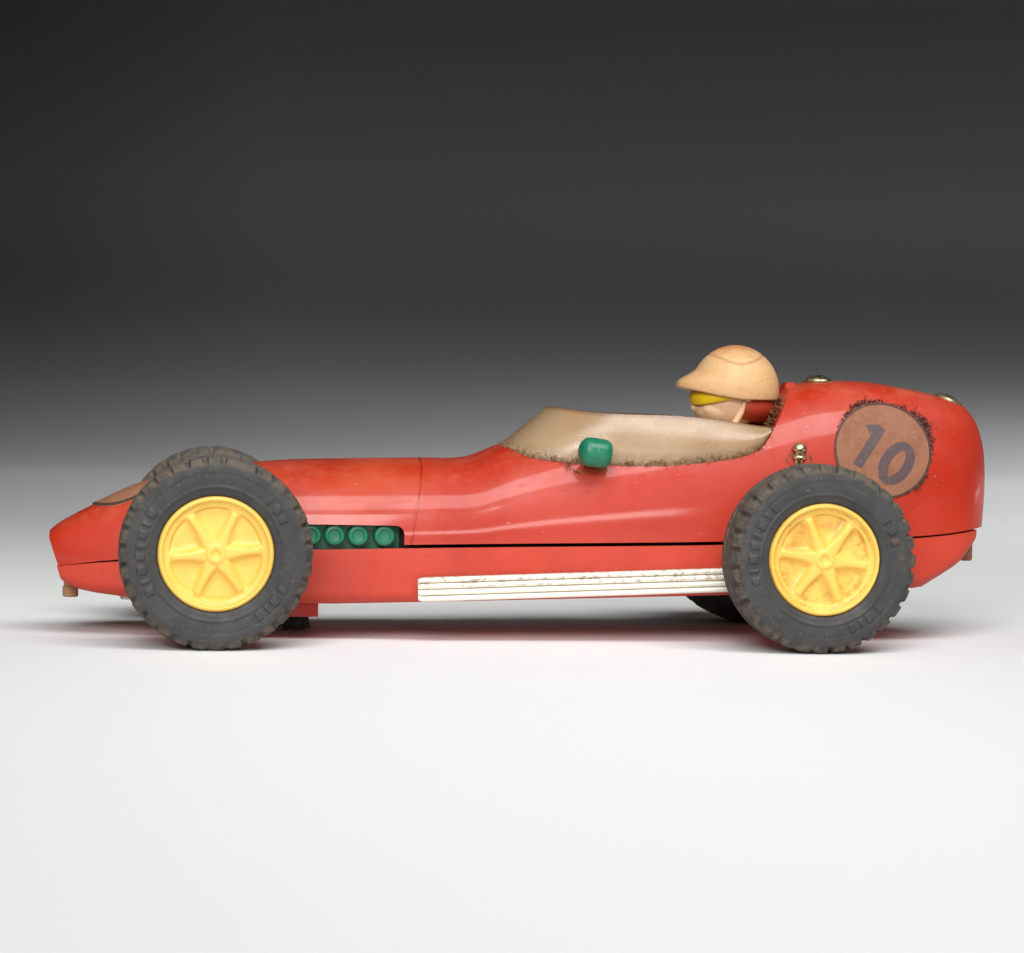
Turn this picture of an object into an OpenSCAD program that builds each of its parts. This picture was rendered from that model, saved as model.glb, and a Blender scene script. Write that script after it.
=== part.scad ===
// Toy single-seat racing car with a friction drive on the rear axle, in millimetres.
// The front points toward -X, +Z is up, and the tyres stand on z = 0 with the car centred on the origin.

/* [Body] */
// Greatest half width of the moulded body
body_half = 17.5; // [16.5:0.1:18]
// Wall thickness of the mouldings
wall = 1.3; // [1.1:0.1:1.5]
// Open gap between the upper body and the pan
seam_gap = 0.35; // [0.2:0.05:0.5]
// Place where the body is widest
widest_x = 10; // [8:1:12]
// Corner radius between the pan's floor and its sides
bilge_r = 2.2; // [1.8:0.1:2.6]

/* [Wheels] */
// Outer radius of the tyres
tyre_r = 16.3; // [16:0.1:16.8]
// Width of a tyre
tyre_w = 14; // [13:0.5:14]
// Radius where a tyre sits on its hub
hub_r = 9.75; // [9.5:0.05:10]
// Distance from the middle of the car to a tyre's inner face
wheel_y = 22; // [21.5:0.1:22.5]
// Place of the front axle
front_x = -56.2; // [-57:0.1:-56]
// Place of the rear axle
rear_x = 47.6; // [47.4:0.1:48]
// Radius of the axle rods
axle_r = 1.25; // [1.1:0.05:1.3]
// Radial play of a shaft in its bore
play = 0.06; // [0.03:0.01:0.1]

/* [Friction drive] */
// Tooth module of the gears
gear_module = 0.45; // [0.44:0.01:0.46]
// Teeth of the two large gears
gear_teeth = 24; // [24:1:24]
// Teeth of the two pinions
pinion_teeth = 10; // [10:1:10]
// Pressure angle of the teeth
pressure_angle = 25; // [22:1:27]
// Radius of the arbor and of the flywheel's shaft
arbor_r = 0.8; // [0.7:0.05:0.9]
// Radius of the flywheel
flywheel_r = 8.5; // [7:0.5:8.5]
// Direction from the rear axle to the arbor, above the horizontal
arbor_lift = 40; // [38:1:42]
// Direction from the arbor to the flywheel, above the horizontal
flywheel_lift = 30; // [28:1:32]

/* [Trim] */
// Thickness of the clear screen
screen_t = 0.8; // [0.6:0.1:1]
// Radius of the race number discs
roundel_r = 8.8; // [8:0.1:9]
// Thickness of the paper discs
paper_t = 0.15; // [0.1:0.05:0.2]
// Radius of the round engine ends in the side slots
stub_r = 1.84; // [1.7:0.02:1.86]
// Radius of the domed filler caps
cap_r = 2.6; // [2.4:0.1:2.7]

/* [Hidden] */

// Steps of a true curve, and of a curve inside a moulded mesh
$fn = 64;
mesh_fn = 24;
// A cut passes this far beyond what it cuts
over = 1;

// Front end of the upper body
nose_x = -85.1;
axle_z = tyre_r;

// Height of the upper body's crown over its length, as if the cockpit were closed
crown_line = [[-86, 17.3], [-83.4, 19.5], [-78, 22.5], [-69.5, 26.5], [-58, 29.3], [-46, 31],
    [-32, 31.6], [-19.4, 31.9], [-11, 32.2], [-5, 34.5], [4, 37], [20, 39.5], [38, 43], [48, 46],
    [54, 46.9], [62, 47], [70, 45.9], [76.4, 44.6], [80.8, 43.1], [83.3, 40.4], [84.6, 36.8], [86, 30]];
// Height of the seam between the upper body and the pan
seam_line = [[-86, 12], [-72, 13.7], [-39, 16.5], [34.6, 18.3], [70, 19.4], [86, 20.9]];
// Height of the pan's floor, in straight panels
keel_line = [[-83.2, 9.8], [-82, 8.8], [-79.5, 8], [-69, 6.6], [-36, 6.4], [35, 8.6], [71, 9.9],
    [79.9, 14.8], [82.8, 17.8], [84, 19.3]];
// Squareness of the upper body's sections
square_line = [[-86, 2.2], [-20, 2.3], [20, 2.6], [60, 2.5], [86, 2.3]];
// Edge of the cockpit opening seen from the side, from the screen's base to the headrest
cockpit_line = [[-4.8, 34.5], [-1, 32.6], [8, 31.6], [20.6, 31.4], [33, 32.5], [40.2, 34.6],
    [43.1, 38.3], [47.7, 46.1]];
// Places of the sections along the upper body and along the pan
body_stations = [-85.1, -84.5, -83.4, -81, -78, -74, -69.5, -64, -58, -52, -46, -39, -32, -25, -19.4,
    -15, -11, -8, -5, -2, 2, 8, 14, 20, 26, 32, 38, 43, 48, 51, 54, 58, 62, 66, 70, 73, 76.4, 79,
    80.8, 82.2, 83.3, 84.2, 84.8, 85.1];
pan_stations = [-83.1, -82, -79.5, -76, -69, -60, -48, -36, -24, -12, 0, 12, 24, 35, 47, 59, 71, 75.5,
    79.9, 81.4, 82.8, 83.3];

// Gear train: the axle gear turns the arbor's pinion, and the arbor's gear turns the flywheel's
gear_pitch_r = gear_module * gear_teeth / 2;
pinion_pitch_r = gear_module * pinion_teeth / 2;
gear_spacing = gear_pitch_r + pinion_pitch_r;
arbor_x = rear_x + gear_spacing * cos(arbor_lift);
arbor_z = axle_z + gear_spacing * sin(arbor_lift);
flywheel_x = arbor_x + gear_spacing * cos(flywheel_lift);
flywheel_z = arbor_z + gear_spacing * sin(flywheel_lift);
gear_w = 1.6;
plate_t = 1;
plate_left_y = -6;
plate_right_y = 3;
motor_foot_z = 11.4;
// Places of the pillars that hold the motor plates apart, as [x, z]
pillars = [[45.6, 27], [66.5, 15.5], [62.5, 33.4]];
// Places of the motor's feet screws, as [x, y]
foot_screws = [[45.5, -8.2], [67, -8.2], [45.5, 6.2], [67, 6.2]];
// Places of the screws that join the pan to the upper body
body_screw_xs = [-71, -14, 76];
boss_r = 2.3;
screw_r = 1;
screw_head_r = 1.9;

// Places of the green engine ends
engine_end_xs = [-39.4, -35.3, -31.2, -26.6];
engine_end_z = 18.5;
// Side slots for the engine: front, rear and top
slot_front = -50;
slot_rear = -23.2;
slot_top = 20.4;
slot_r = 1.6;

// Exhaust bundle on the side of the pan
exhaust_front = [-20.8, 9.3];
exhaust_rear = [42, 11.8];
exhaust_h = 4.4;
pipe_count = 4;

// Head and body of the driver
driver_x = 38.4;
helmet_z = 44.9;

function clamp(v, low, high) = max(low, min(high, v));

// Smooth curve through a list of [x, value] points
function span(p, x, i = 0) = (i >= len(p) - 2 || x < p[i + 1][0]) ? i : span(p, x, i + 1);
function steepness(p, i) = let (a = max(i - 1, 0), b = min(i + 1, len(p) - 1))
    (p[b][1] - p[a][1]) / (p[b][0] - p[a][0]);
function along(p, x) = let (i = span(p, x), h = p[i + 1][0] - p[i][0], t = (x - p[i][0]) / h)
    p[i][1] * (1 + 2 * t) * (1 - t) * (1 - t) + steepness(p, i) * h * t * (1 - t) * (1 - t)
    + p[i + 1][1] * t * t * (3 - 2 * t) - steepness(p, i + 1) * h * t * t * (1 - t);

// Half width of the body: a blunt oval, longer toward the nose than toward the tail
nose_reach = 98.5;
tail_reach = 75.9;
nose_power = 2.3;
tail_power = 2.8;
function oval(u, power) = pow(max(0, 1 - pow(u, power)), 1 / power);
function half_width(x) = x < widest_x
    ? body_half * oval((widest_x - x) / nose_reach, nose_power)
    : body_half * oval((x - widest_x) / tail_reach, tail_power);
function seam(x) = along(seam_line, x);
function crown(x) = along(crown_line, x);
function keel(x) = lookup(x, keel_line);
function squareness(x) = lookup(x, square_line);

// The nose leans back below its tip, and the tail's end face leans in below its top
tip_z = 17;
nose_lean = 0.35;
tail_top_z = 35;
tail_lean = 0.07;
function leant(x, z) = x + nose_lean * max(0, tip_z - z) * clamp((-76 - x) / 8, 0, 1)
    - tail_lean * max(0, tail_top_z - z) * clamp((x - 78) / 7, 0, 1);

// A point of the upper body's surface, moved inward: angle 0 is the seam at +Y, 180 the one at -Y
function skin(x, a, inset = 0) = let (n = squareness(x), w = half_width(x) - inset,
    z = seam(x) + (crown(x) - inset - seam(x)) * pow(sin(a), 2 / n),
    y = w * sign(cos(a)) * pow(abs(cos(a)), 2 / n)) [leant(x, z), y, z];
// The distance from the middle to the upper body's side at a height, and its height at that distance
function side_y(x, z, inset = 0) = (half_width(x) - inset)
    * oval(clamp((z - seam(x)) / (crown(x) - inset - seam(x)), 0, 1), squareness(x));
function top_z(x, y) = seam(x) + (crown(x) - seam(x)) * oval(clamp(abs(y) / half_width(x), 0, 1),
    squareness(x));

function body_ring(x, inset, foot) = concat([[x, half_width(x) - inset, seam(x) - foot]],
    [for (a = [2:11:178]) skin(x, a, inset)], [[x, inset - half_width(x), seam(x) - foot]]);
function inner_stations(list, inset) = [for (x = list)
    if (x > list[0] + inset && x < list[len(list) - 1] - inset) x];
function clipped(list, inset) = concat([list[0] + inset], inner_stations(list, inset),
    [list[len(list) - 1] - inset]);

// A section of the pan: straight sides, a rounded bilge and a flat floor
function pan_ring(x, inset, lift) = let (w = half_width(x) - 0.35 - inset, top = seam(x) - seam_gap + lift,
    low = keel(x) + inset, r = max(0.3, min(bilge_r, 0.45 * (seam(x) - keel(x)), 0.6 * w) - inset))
    concat([[x, -w, top]], [for (a = [0:22.5:90]) [x, r - w - r * cos(a), low + r - r * sin(a)]],
    [for (a = [90:-22.5:0]) [x, w - r + r * cos(a), low + r - r * sin(a)]], [[x, w, top]]);

// A closed solid through rings that all have the same number of points
module loft(rings) {
    m = len(rings[0]);
    last = len(rings) - 1;
    sides = [for (i = [0:last - 1], j = [0:m - 1])
        let (a = i * m + j, b = i * m + (j + 1) % m) each [[a, a + m, b + m], [a, b + m, b]]];
    polyhedron([for (ring = rings) each ring], concat([[for (j = [0:m - 1]) j]], sides,
        [[for (j = [m - 1:-1:0]) last * m + j]]), convexity = 8);
}

// A thin sheet with a front and a back grid of points, rows first
module sheet(front, back) {
    rows = len(front);
    cols = len(front[0]);
    n = rows * cols;
    edge = concat([for (j = [0:cols - 1]) j], [for (i = [1:rows - 1]) i * cols + cols - 1],
        [for (j = [cols - 2:-1:0]) (rows - 1) * cols + j], [for (i = [rows - 2:-1:1]) i * cols]);
    grid = [for (i = [0:rows - 2], j = [0:cols - 2]) let (a = i * cols + j)
        each [[a, a + 1, a + cols + 1], [a, a + cols + 1, a + cols]]];
    behind = [for (f = grid) [f[0] + n, f[2] + n, f[1] + n]];
    rim = [for (k = [0:len(edge) - 1]) let (a = edge[k], b = edge[(k + 1) % len(edge)])
        each [[a, a + n, b + n], [a, b + n, b]]];
    polyhedron(concat([for (r = front) each r], [for (r = back) each r]),
        concat(grid, behind, rim), convexity = 6);
}

// One moulded piece, meshed as a whole
module moulded() {
    resize([0, 0, 0]) union() children();
}

// Side profile in X and Z, cut or built right across the car
module across(width) {
    rotate([90, 0, 0]) translate([0, 0, -width / 2]) linear_extrude(width) children();
}

module cockpit_cut(drop = 0) {
    edge = [for (p = [for (k = [0:4:100]) k / 100]) let (x = cockpit_line[0][0]
        + p * (cockpit_line[7][0] - cockpit_line[0][0])) [x, along(cockpit_line, x) - drop]];
    across(60) polygon(concat([[edge[0][0], 60]], edge, [[cockpit_line[7][0], 60]]));
}

module axle_notch(x, top) {
    r = axle_r + 0.9;
    translate([x, 30, axle_z]) rotate([90, 0, 0]) cylinder(r = r, h = 60, $fn = mesh_fn);
    translate([x - r, -30, min(top, axle_z)]) cube([2 * r, 60, abs(top - axle_z)]);
}

module engine_slot() {
    across(60) difference() {
        translate([slot_front, slot_top - 12]) square([slot_rear - slot_front, 12]);
        translate([slot_rear - slot_r, slot_top - slot_r]) difference() {
            square(slot_r + over);
            circle(slot_r, $fn = mesh_fn);
        }
    }
}

// Posts in the upper body that the pan's screws bite into
module body_bosses() {
    for (x = body_screw_xs) {
        foot = keel(x) + wall + 0.6;
        translate([x, 0, foot]) cylinder(r = boss_r, h = crown(x) - wall / 2 - foot, $fn = mesh_fn);
    }
}

module boss_pilots() {
    for (x = body_screw_xs) translate([x, 0, keel(x)]) cylinder(r = screw_r + 0.1, h = 10, $fn = mesh_fn);
}

// Wall of the headrest behind the driver
module headrest_wall() {
    intersection() {
        loft([for (x = [40, 43, 48, 52]) body_ring(x, wall / 2, 0)]);
        across(60) polygon([[43.3, 31], [44.7, 31], [50, 48], [48, 48]]);
    }
}

// Nose opening that the grille fills
intake_w = 7.6;
intake_h = 3.4;
intake_z = 14.9;
module intake(grow = 0, deep = 4) {
    translate([nose_x - over, 0, intake_z]) rotate([0, 90, 0]) linear_extrude(deep + over)
        scale([1, (intake_w + 2 * grow) / (intake_h + 2 * grow)])
            circle(intake_h / 2 + grow, $fn = mesh_fn);
}

module upper_body() {
    color("orangered") moulded() {
        difference() {
            union() {
                difference() {
                    loft([for (x = body_stations) body_ring(x, 0, 0)]);
                    loft([for (x = clipped(body_stations, wall)) body_ring(x, wall, 2)]);
                }
                body_bosses();
                headrest_wall();
            }
            boss_pilots();
            cockpit_cut();
            engine_slot();
            axle_notch(front_x, 8);
            intake();
            headrest_cap_place() cap_recess();
            tail_cap_place() cap_recess();
        }
    }
}

module motor_pads() {
    for (p = foot_screws) translate([p[0] - 2.2, p[1] - 2, keel(p[0])])
        cube([4.4, 4, motor_foot_z - keel(p[0])]);
}

tab_x = 80.4;
tab_l = 2.3;
tab_w = 9;
module lower_pan() {
    color("firebrick") moulded() difference() {
        union() {
            difference() {
                loft([for (x = pan_stations) pan_ring(x, 0, 0)]);
                loft([for (x = clipped(pan_stations, wall)) pan_ring(x, wall, 3)]);
            }
            motor_pads();
        }
        axle_notch(front_x, 30);
        axle_notch(rear_x, 30);
        for (x = body_screw_xs) translate([x, 0, keel(x) - over])
            cylinder(r = screw_r + 0.25, h = 6, $fn = mesh_fn);
        for (p = foot_screws) translate([p[0], p[1], 7]) cylinder(r = screw_r - 0.1, h = 8, $fn = mesh_fn);
        translate([peg_x, 0, 5]) cylinder(r = peg_r - 0.1, h = 6, $fn = mesh_fn);
        translate([tab_x - 0.1, -tab_w / 2 - 0.1, 10]) cube([tab_l + 0.2, tab_w + 0.2, 10]);
        for (y = [-4, 4]) translate([brush_x, y, 3]) cylinder(r = 1.2, h = 6, $fn = mesh_fn);
    }
}

// Oval frame with upright bars
module radiator_grille() {
    color("black") intersection() {
        intake(-0.15, 3.2);
        union() {
            translate([nose_x + 1.9, -5, intake_z - 3]) cube([1.1, 10, 6]);
            for (y = [-3:1:3]) translate([nose_x + 1.1, y - 0.2, intake_z - 3]) cube([1, 0.4, 6]);
        }
    }
}

// Screen: its foot follows the cockpit's edge and its rim is level, with the front raked back
rim_line = [[0, 42], [12, 40.6], [27, 40.2], [42, 38.5]];
rim_front_x = 3.6;
screen_rear_x = 42.2;
function foot_point(u, inset) = let (x = cockpit_line[0][0] + inset + (screen_rear_x - cockpit_line[0][0]) * u * u,
    z = along(cockpit_line, x)) [x, side_y(x, z, inset), z + 0.05];
function rim_point(u, inset) = let (s = screen_rear_x - rim_front_x, d = s * u * u,
    y = 12.9 * oval(1 - clamp(d / 14, 0, 1), 2.2)) [rim_front_x + inset + d, max(0, y - inset * min(1, 3 * u)),
    along(rim_line, rim_front_x + d)];
function screen_point(u, v, inset) = let (a = foot_point(abs(u), inset), b = rim_point(abs(u), inset),
    swell = 0.9 * sin(180 * v) * clamp(2 * abs(u), 0, 1))
    [a[0] + (b[0] - a[0]) * v, sign(u) * (a[1] + (b[1] - a[1]) * v + swell), a[2] + (b[2] - a[2]) * v];
module windscreen() {
    steps = 12;
    us = [for (k = [-steps:steps]) k / steps];
    color("tan", 0.6) sheet([for (v = [0:0.25:1]) [for (u = us) screen_point(u, v, 0.2)]],
        [for (v = [0:0.25:1]) [for (u = us) screen_point(u, v, 0.2 + screen_t)]]);
}

// Open liner of the cockpit, with a floor for the driver
tub_front = -5;
tub_rear = 42;
tub_floor = 20;
tub_wall = 1;
module tub_solid(inset, from, to, low) {
    xs = [for (k = [0:10]) from + (to - from) * k / 10];
    intersection() {
        loft([for (x = xs) body_ring(x, inset, 4)]);
        translate([from - over, -20, low]) cube([to - from + 2 * over, 40, 40]);
    }
}
module cockpit_tub() {
    color("saddlebrown") moulded() difference() {
        tub_solid(wall + 0.15, tub_front, tub_rear, tub_floor);
        tub_solid(wall + 0.15 + tub_wall, tub_front + tub_wall, tub_rear - tub_wall, tub_floor + tub_wall);
        cockpit_cut(0.8);
    }
}

dash_x = 2.5;
module dashboard() {
    color("dimgray") moulded() intersection() {
        tub_solid(wall + tub_wall + 0.25, dash_x - 1, dash_x + 4, tub_floor + tub_wall + 4);
        across(60) polygon([[dash_x, 24], [dash_x + 1.2, 24], [dash_x + 2.4, 33], [dash_x + 1.2, 33]]);
    }
}

steer_x = 10.5;
steer_z = 32.4;
steer_tilt = 68;
module steering_frame() {
    translate([steer_x, 0, steer_z]) rotate([0, steer_tilt, 0]) children();
}
module steering_column() {
    color("silver") steering_frame() translate([0, 0, -6.3]) cylinder(r = 0.6, h = 6.1);
}
module steering_wheel() {
    color("saddlebrown") steering_frame() union() {
        rotate_extrude() translate([4.6, 0]) circle(0.55);
        cylinder(r = 1.2, h = 1, center = true);
        for (a = [0, 120, 240]) rotate(a) translate([0.6, -0.35, -0.25]) cube([3.8, 0.7, 0.5]);
    }
}

// A round-ended limb between two places
module limb(a, b, ra, rb) {
    hull() {
        translate(a) sphere(ra, $fn = 16);
        translate(b) sphere(rb, $fn = 16);
    }
}
shoulder_z = 33.2;
module driver_torso() {
    color("wheat") moulded() intersection() {
        union() {
            hull() {
                translate([driver_x - 1, 0, tub_floor + tub_wall + 0.1]) scale([5, 8, 1])
                    cylinder(r = 1, h = 1, $fn = mesh_fn);
                translate([driver_x - 2.2, 0, 28]) scale([4.4, 7.6, 3]) sphere(1, $fn = mesh_fn);
                for (y = [-6.6, 6.6]) translate([driver_x - 1.2, y, shoulder_z - 0.6]) sphere(3, $fn = mesh_fn);
            }
            translate([driver_x - 0.4, 0, shoulder_z]) cylinder(r1 = 4, r2 = 3, h = 4.9, $fn = mesh_fn);
            for (side = [-1, 1]) {
                limb([driver_x - 2, side * 7.6, shoulder_z - 1.6], [27.5, side * 8.4, 28.2], 2.7, 2.1);
                limb([27.5, side * 8.4, 28.2], [15.2, side * 5.2, 31.6], 2.1, 1.5);
            }
        }
        translate([0, -20, tub_floor + tub_wall + 0.05]) cube([tub_rear - tub_wall - 0.1, 40, 30]);
    }
}

// Head under the helmet: skull, jaw and nose
module driver_head() {
    color("peachpuff") moulded() {
        hull() {
            translate([driver_x - 0.9, 0, 42.9]) scale([6.2, 5.1, 4.6]) sphere(1, $fn = mesh_fn);
            translate([driver_x - 3.6, 0, 41.2]) scale([3.4, 3.3, 2.3]) sphere(1, $fn = mesh_fn);
        }
        limb([driver_x - 6.2, 0, 43.4], [driver_x - 7, 0, 41.9], 0.8, 0.9);
    }
}

// Round shell with a peak, open below
helmet_r = 8.15;
module driver_helmet() {
    color("burlywood") moulded() difference() {
        union() {
            translate([driver_x, 0, helmet_z]) scale([1.01, 0.92, 1.04]) sphere(helmet_r, $fn = 32);
            hull() {
                translate([driver_x - 5.6, 0, 46]) scale([3.2, 5.6, 0.7]) sphere(1, $fn = mesh_fn);
                translate([driver_x - 8.4, 0, 46.3]) scale([2.2, 3.6, 0.5]) sphere(1, $fn = mesh_fn);
            }
        }
        translate([driver_x, 0, helmet_z]) scale([0.87, 0.76, 0.88]) sphere(helmet_r, $fn = 32);
        translate([driver_x - 15, -10, 34]) rotate([0, -4, 0]) cube([30, 20, 9.2]);
    }
}

// Goggle band round the front of the head
module driver_goggles() {
    color("gold") moulded() difference() {
        translate([driver_x - 1.3, 0, 42.3]) scale([7.4, 5.9, 1]) cylinder(r = 1, h = 1.7, $fn = 32);
        translate([driver_x - 1.3, 0, 42]) scale([6.65, 5.25, 1]) cylinder(r = 1, h = 4, $fn = 32);
        translate([driver_x - 2.9, -10, 40]) cube([20, 20, 10]);
    }
}

// Leather flap that hangs from the helmet round the neck
module driver_neck_flap() {
    color("maroon") moulded() difference() {
        hull() {
            translate([driver_x + 0.8, 0, 43.6]) scale([6.8, 6.2, 1]) cylinder(r = 1, h = 0.3, $fn = 32);
            translate([driver_x + 0.8, 0, 38.7]) scale([5.6, 5.5, 1]) cylinder(r = 1, h = 0.3, $fn = 32);
        }
        translate([driver_x - 0.1, 0, 37]) scale([5.7, 5, 1]) cylinder(r = 1, h = 9, $fn = 32);
        translate([driver_x - 19.9, -10, 36]) cube([20.5, 20, 12]);
    }
}

// Bullet mirror with its stalk on the cockpit's edge
mirror_x = 6.9;
mirror_y = 18.4;
mirror_z = 34;
mirror_r = 2.5;
mirror_l = 5.9;
module mirror(side) {
    color("seagreen") translate([mirror_x, side * mirror_y, mirror_z]) {
        rotate([0, 90, 0]) rotate_extrude() polygon(concat([[0, 0]],
            [for (a = [15:15:90]) [mirror_r * sin(a), 2.6 * (1 - cos(a))]],
            [[mirror_r, mirror_l - 0.4], [mirror_r - 0.4, mirror_l], [0, mirror_l]]));
        translate([2.6, 0, 0]) rotate([side * -33, 0, 0]) translate([0, 0, -5.9]) cylinder(r = 0.9, h = 4.2);
    }
}
module mirror_left() { mirror(-1); }
module mirror_right() { mirror(1); }

// Engine: a crankcase on the pan's floor and a wide head behind the side slots
module engine_block() {
    color("seagreen") union() {
        translate([slot_front + 3, -7, 8.3]) cube([22, 14, 7.7]);
        translate([slot_front + 1.2, -12.2, 15.8]) cube([slot_rear - slot_front - 1.8, 24.4, 4.6]);
        for (k = [0:3]) translate([-43 + 5 * k, 0, 20.4]) cylinder(r = 1.6, h = 4);
    }
}
module engine_ends(side) {
    color("seagreen") for (x = engine_end_xs) {
        reach = half_width(x) - 1 - 12.2;
        translate([x, side * 12.2, engine_end_z]) rotate([side * -90, 0, 0]) cylinder(r = stub_r, h = reach);
    }
}
module engine_ends_left() { engine_ends(-1); }
module engine_ends_right() { engine_ends(1); }

// Four pipes side by side on a strip along the pan
exhaust_y = 17.15;
module exhaust(side) {
    run = exhaust_rear - exhaust_front;
    pipe_r = exhaust_h / pipe_count / 2;
    color("gainsboro") translate([exhaust_front[0], side * exhaust_y, exhaust_front[1]])
        rotate([0, -atan2(run[1], run[0]), 0]) {
            translate([0, side > 0 ? 0 : -0.9, -exhaust_h / 2]) cube([norm(run), 0.9, exhaust_h]);
            for (k = [0:pipe_count - 1]) translate([0, side * 0.9, (k + 0.5) * 2 * pipe_r - exhaust_h / 2])
                rotate([0, 90, 0]) cylinder(r = pipe_r - 0.03, h = norm(run));
        }
}
module exhaust_left() { exhaust(-1); }
module exhaust_right() { exhaust(1); }

// Domed cap on a short stem
module filler_cap() {
    color("silver") rotate_extrude() polygon([[0, -0.8], [1.3, -0.8], [1.3, 0.4], [cap_r - 0.2, 0.5],
        [cap_r, 0.9], [cap_r - 0.3, 1.3], [cap_r - 1, 1.75], [cap_r - 1.8, 1.95], [0, 2]]);
}
// Shallow pocket that a cap sits in
module cap_recess() {
    translate([0, 0, 0.2]) cylinder(r = cap_r + 0.4, h = 4, $fn = mesh_fn);
}
module headrest_cap_place() {
    translate([54, 0, crown(54) - 0.8]) rotate([0, 2, 0]) children();
}
module tail_cap_place() {
    translate([78.2, 0, crown(78.2) - 1.2]) rotate([0, 22, 0]) children();
}
module filler_cap_headrest() { headrest_cap_place() filler_cap(); }
module filler_cap_tail() { tail_cap_place() filler_cap(); }
// Stem with two rings on the shoulder beside the headrest
side_cap_x = 47.2;
side_cap_z = 32.6;
module side_cap(side) {
    translate([side_cap_x, side * (side_y(side_cap_x, side_cap_z) - 0.4), side_cap_z])
        rotate([side * -14, 0, 0]) color("silver") rotate_extrude()
            polygon([[0, -1.6], [0.9, -1.6], [0.9, 0.5], [1.35, 0.6], [1.35, 1.3], [0.8, 1.4],
                [0.8, 1.9], [1.3, 2.1], [1.3, 2.9], [0.8, 3.4], [0, 3.5]]);
}
module side_cap_left() { side_cap(-1); }
module side_cap_right() { side_cap(1); }

// Paper discs that follow the surface under them
roundel_x = 63.1;
roundel_z = 34.7;
roundel_squash = 0.92;
disc_rows = [0.02, 0.35, 0.68, 1];
disc_turns = [for (k = [0:24]) k * 15];
function side_disc(side, k, lift) = [for (f = disc_rows) [for (a = disc_turns) let (t = k * a,
    x = roundel_x + roundel_r * f * cos(t), z = roundel_z + roundel_squash * roundel_r * f * sin(t))
    [x, side * (side_y(x, z) + lift), z]]];
module ring_patch(front, back) {
    m = len(front[0]) - 1;
    rows = len(front);
    n = rows * m;
    grid = [for (i = [0:rows - 2], j = [0:m - 1]) let (a = i * m + j, b = i * m + (j + 1) % m)
        each [[a, b, b + m], [a, b + m, a + m]]];
    behind = [for (f = grid) [f[0] + n, f[2] + n, f[1] + n]];
    rim = [for (j = [0:m - 1]) let (a = (rows - 1) * m + j, b = (rows - 1) * m + (j + 1) % m)
        each [[a, b, b + n], [a, b + n, a + n]]];
    polyhedron(concat([for (r = front) each [for (j = [0:m - 1]) r[j]]],
        [for (r = back) each [for (j = [0:m - 1]) r[j]]]),
        concat([[for (j = [m - 1:-1:0]) j]], grid, [[for (j = [0:m - 1]) n + j]], behind, rim), convexity = 4);
}
module roundel_left() {
    color("peru") ring_patch(side_disc(-1, 1, paper_t + 0.06), side_disc(-1, 1, 0.06));
}
module roundel_right() {
    color("peru") ring_patch(side_disc(1, -1, paper_t + 0.06), side_disc(1, -1, 0.06));
}
nose_disc_x = -70.5;
nose_disc_r = 7.2;
function nose_disc(lift) = [for (f = disc_rows) [for (a = disc_turns)
    let (x = nose_disc_x + nose_disc_r * f * cos(a), y = nose_disc_r * f * sin(a))
    [x, y, top_z(x, y) + lift]]];
module roundel_nose() {
    color("peru") ring_patch(nose_disc(paper_t + 0.12), nose_disc(0.12));
}

// Bracket that carries the front axle in two upright ears
module front_bearing() {
    color("gray") difference() {
        union() {
            translate([front_x - 5, -10, keel(front_x) + wall + 0.05]) cube([10, 20, 1.2]);
            for (y = [-10, 8]) translate([front_x, y, 0]) rotate([-90, 0, 0]) linear_extrude(2) union() {
                translate([0, -axle_z]) circle(3.2);
                translate([-3.2, -axle_z]) square([6.4, axle_z - keel(front_x) - wall - 0.1]);
            }
        }
        translate([front_x, 30, axle_z]) rotate([90, 0, 0]) cylinder(r = axle_r + play, h = 60);
    }
}

// Rod across the car; its ends sit blind in the hubs
axle_half = wheel_y + 12.2;
module axle_rod(x) {
    color("silver") translate([x, -axle_half, axle_z]) rotate([-90, 0, 0]) cylinder(r = axle_r, h = 2 * axle_half);
}
module front_axle() { axle_rod(front_x); }
module rear_axle() { axle_rod(rear_x); }

// Puts a wheel piece, drawn with its outer face up, at one end of an axle
module at_wheel(x, side) {
    translate([x, side * wheel_y, axle_z]) rotate([side * -90, 0, 0]) children();
}
spoke_count = 6;
hub_face = 12.4;
module hub_window() {
    half = 180 / spoke_count - 12;
    linear_extrude(3) polygon(concat([for (a = [-half:half / 4:half]) 8.2 * [cos(a), sin(a)]],
        [for (a = [half:-half / 2:-half]) 4 * [cos(0.7 * a), sin(0.7 * a)]]));
}
module hub() {
    color("khaki") difference() {
        rotate_extrude() polygon([[0, 1], [3.2, 1], [3.2, 9], [8.3, 9], [8.3, 0.6], [hub_r, 0.6],
            [hub_r, 12.6], [9.5, 13.3], [8.9, 13.5], [8.5, 12.9], [8.4, hub_face], [2.9, hub_face],
            [2.6, 13.2], [1.8, 13.7], [0, 13.8]]);
        for (k = [0:spoke_count - 1]) rotate(30 + k * 360 / spoke_count) translate([0, 0, hub_face - 1.7])
            hub_window();
        translate([0, 0, -1]) cylinder(r = axle_r, h = 13.2);
    }
}
module hub_front_left() { at_wheel(front_x, -1) hub(); }
module hub_front_right() { at_wheel(front_x, 1) hub(); }
module hub_rear_left() { at_wheel(rear_x, -1) hub(); }
module hub_rear_right() { at_wheel(rear_x, 1) hub(); }

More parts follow.
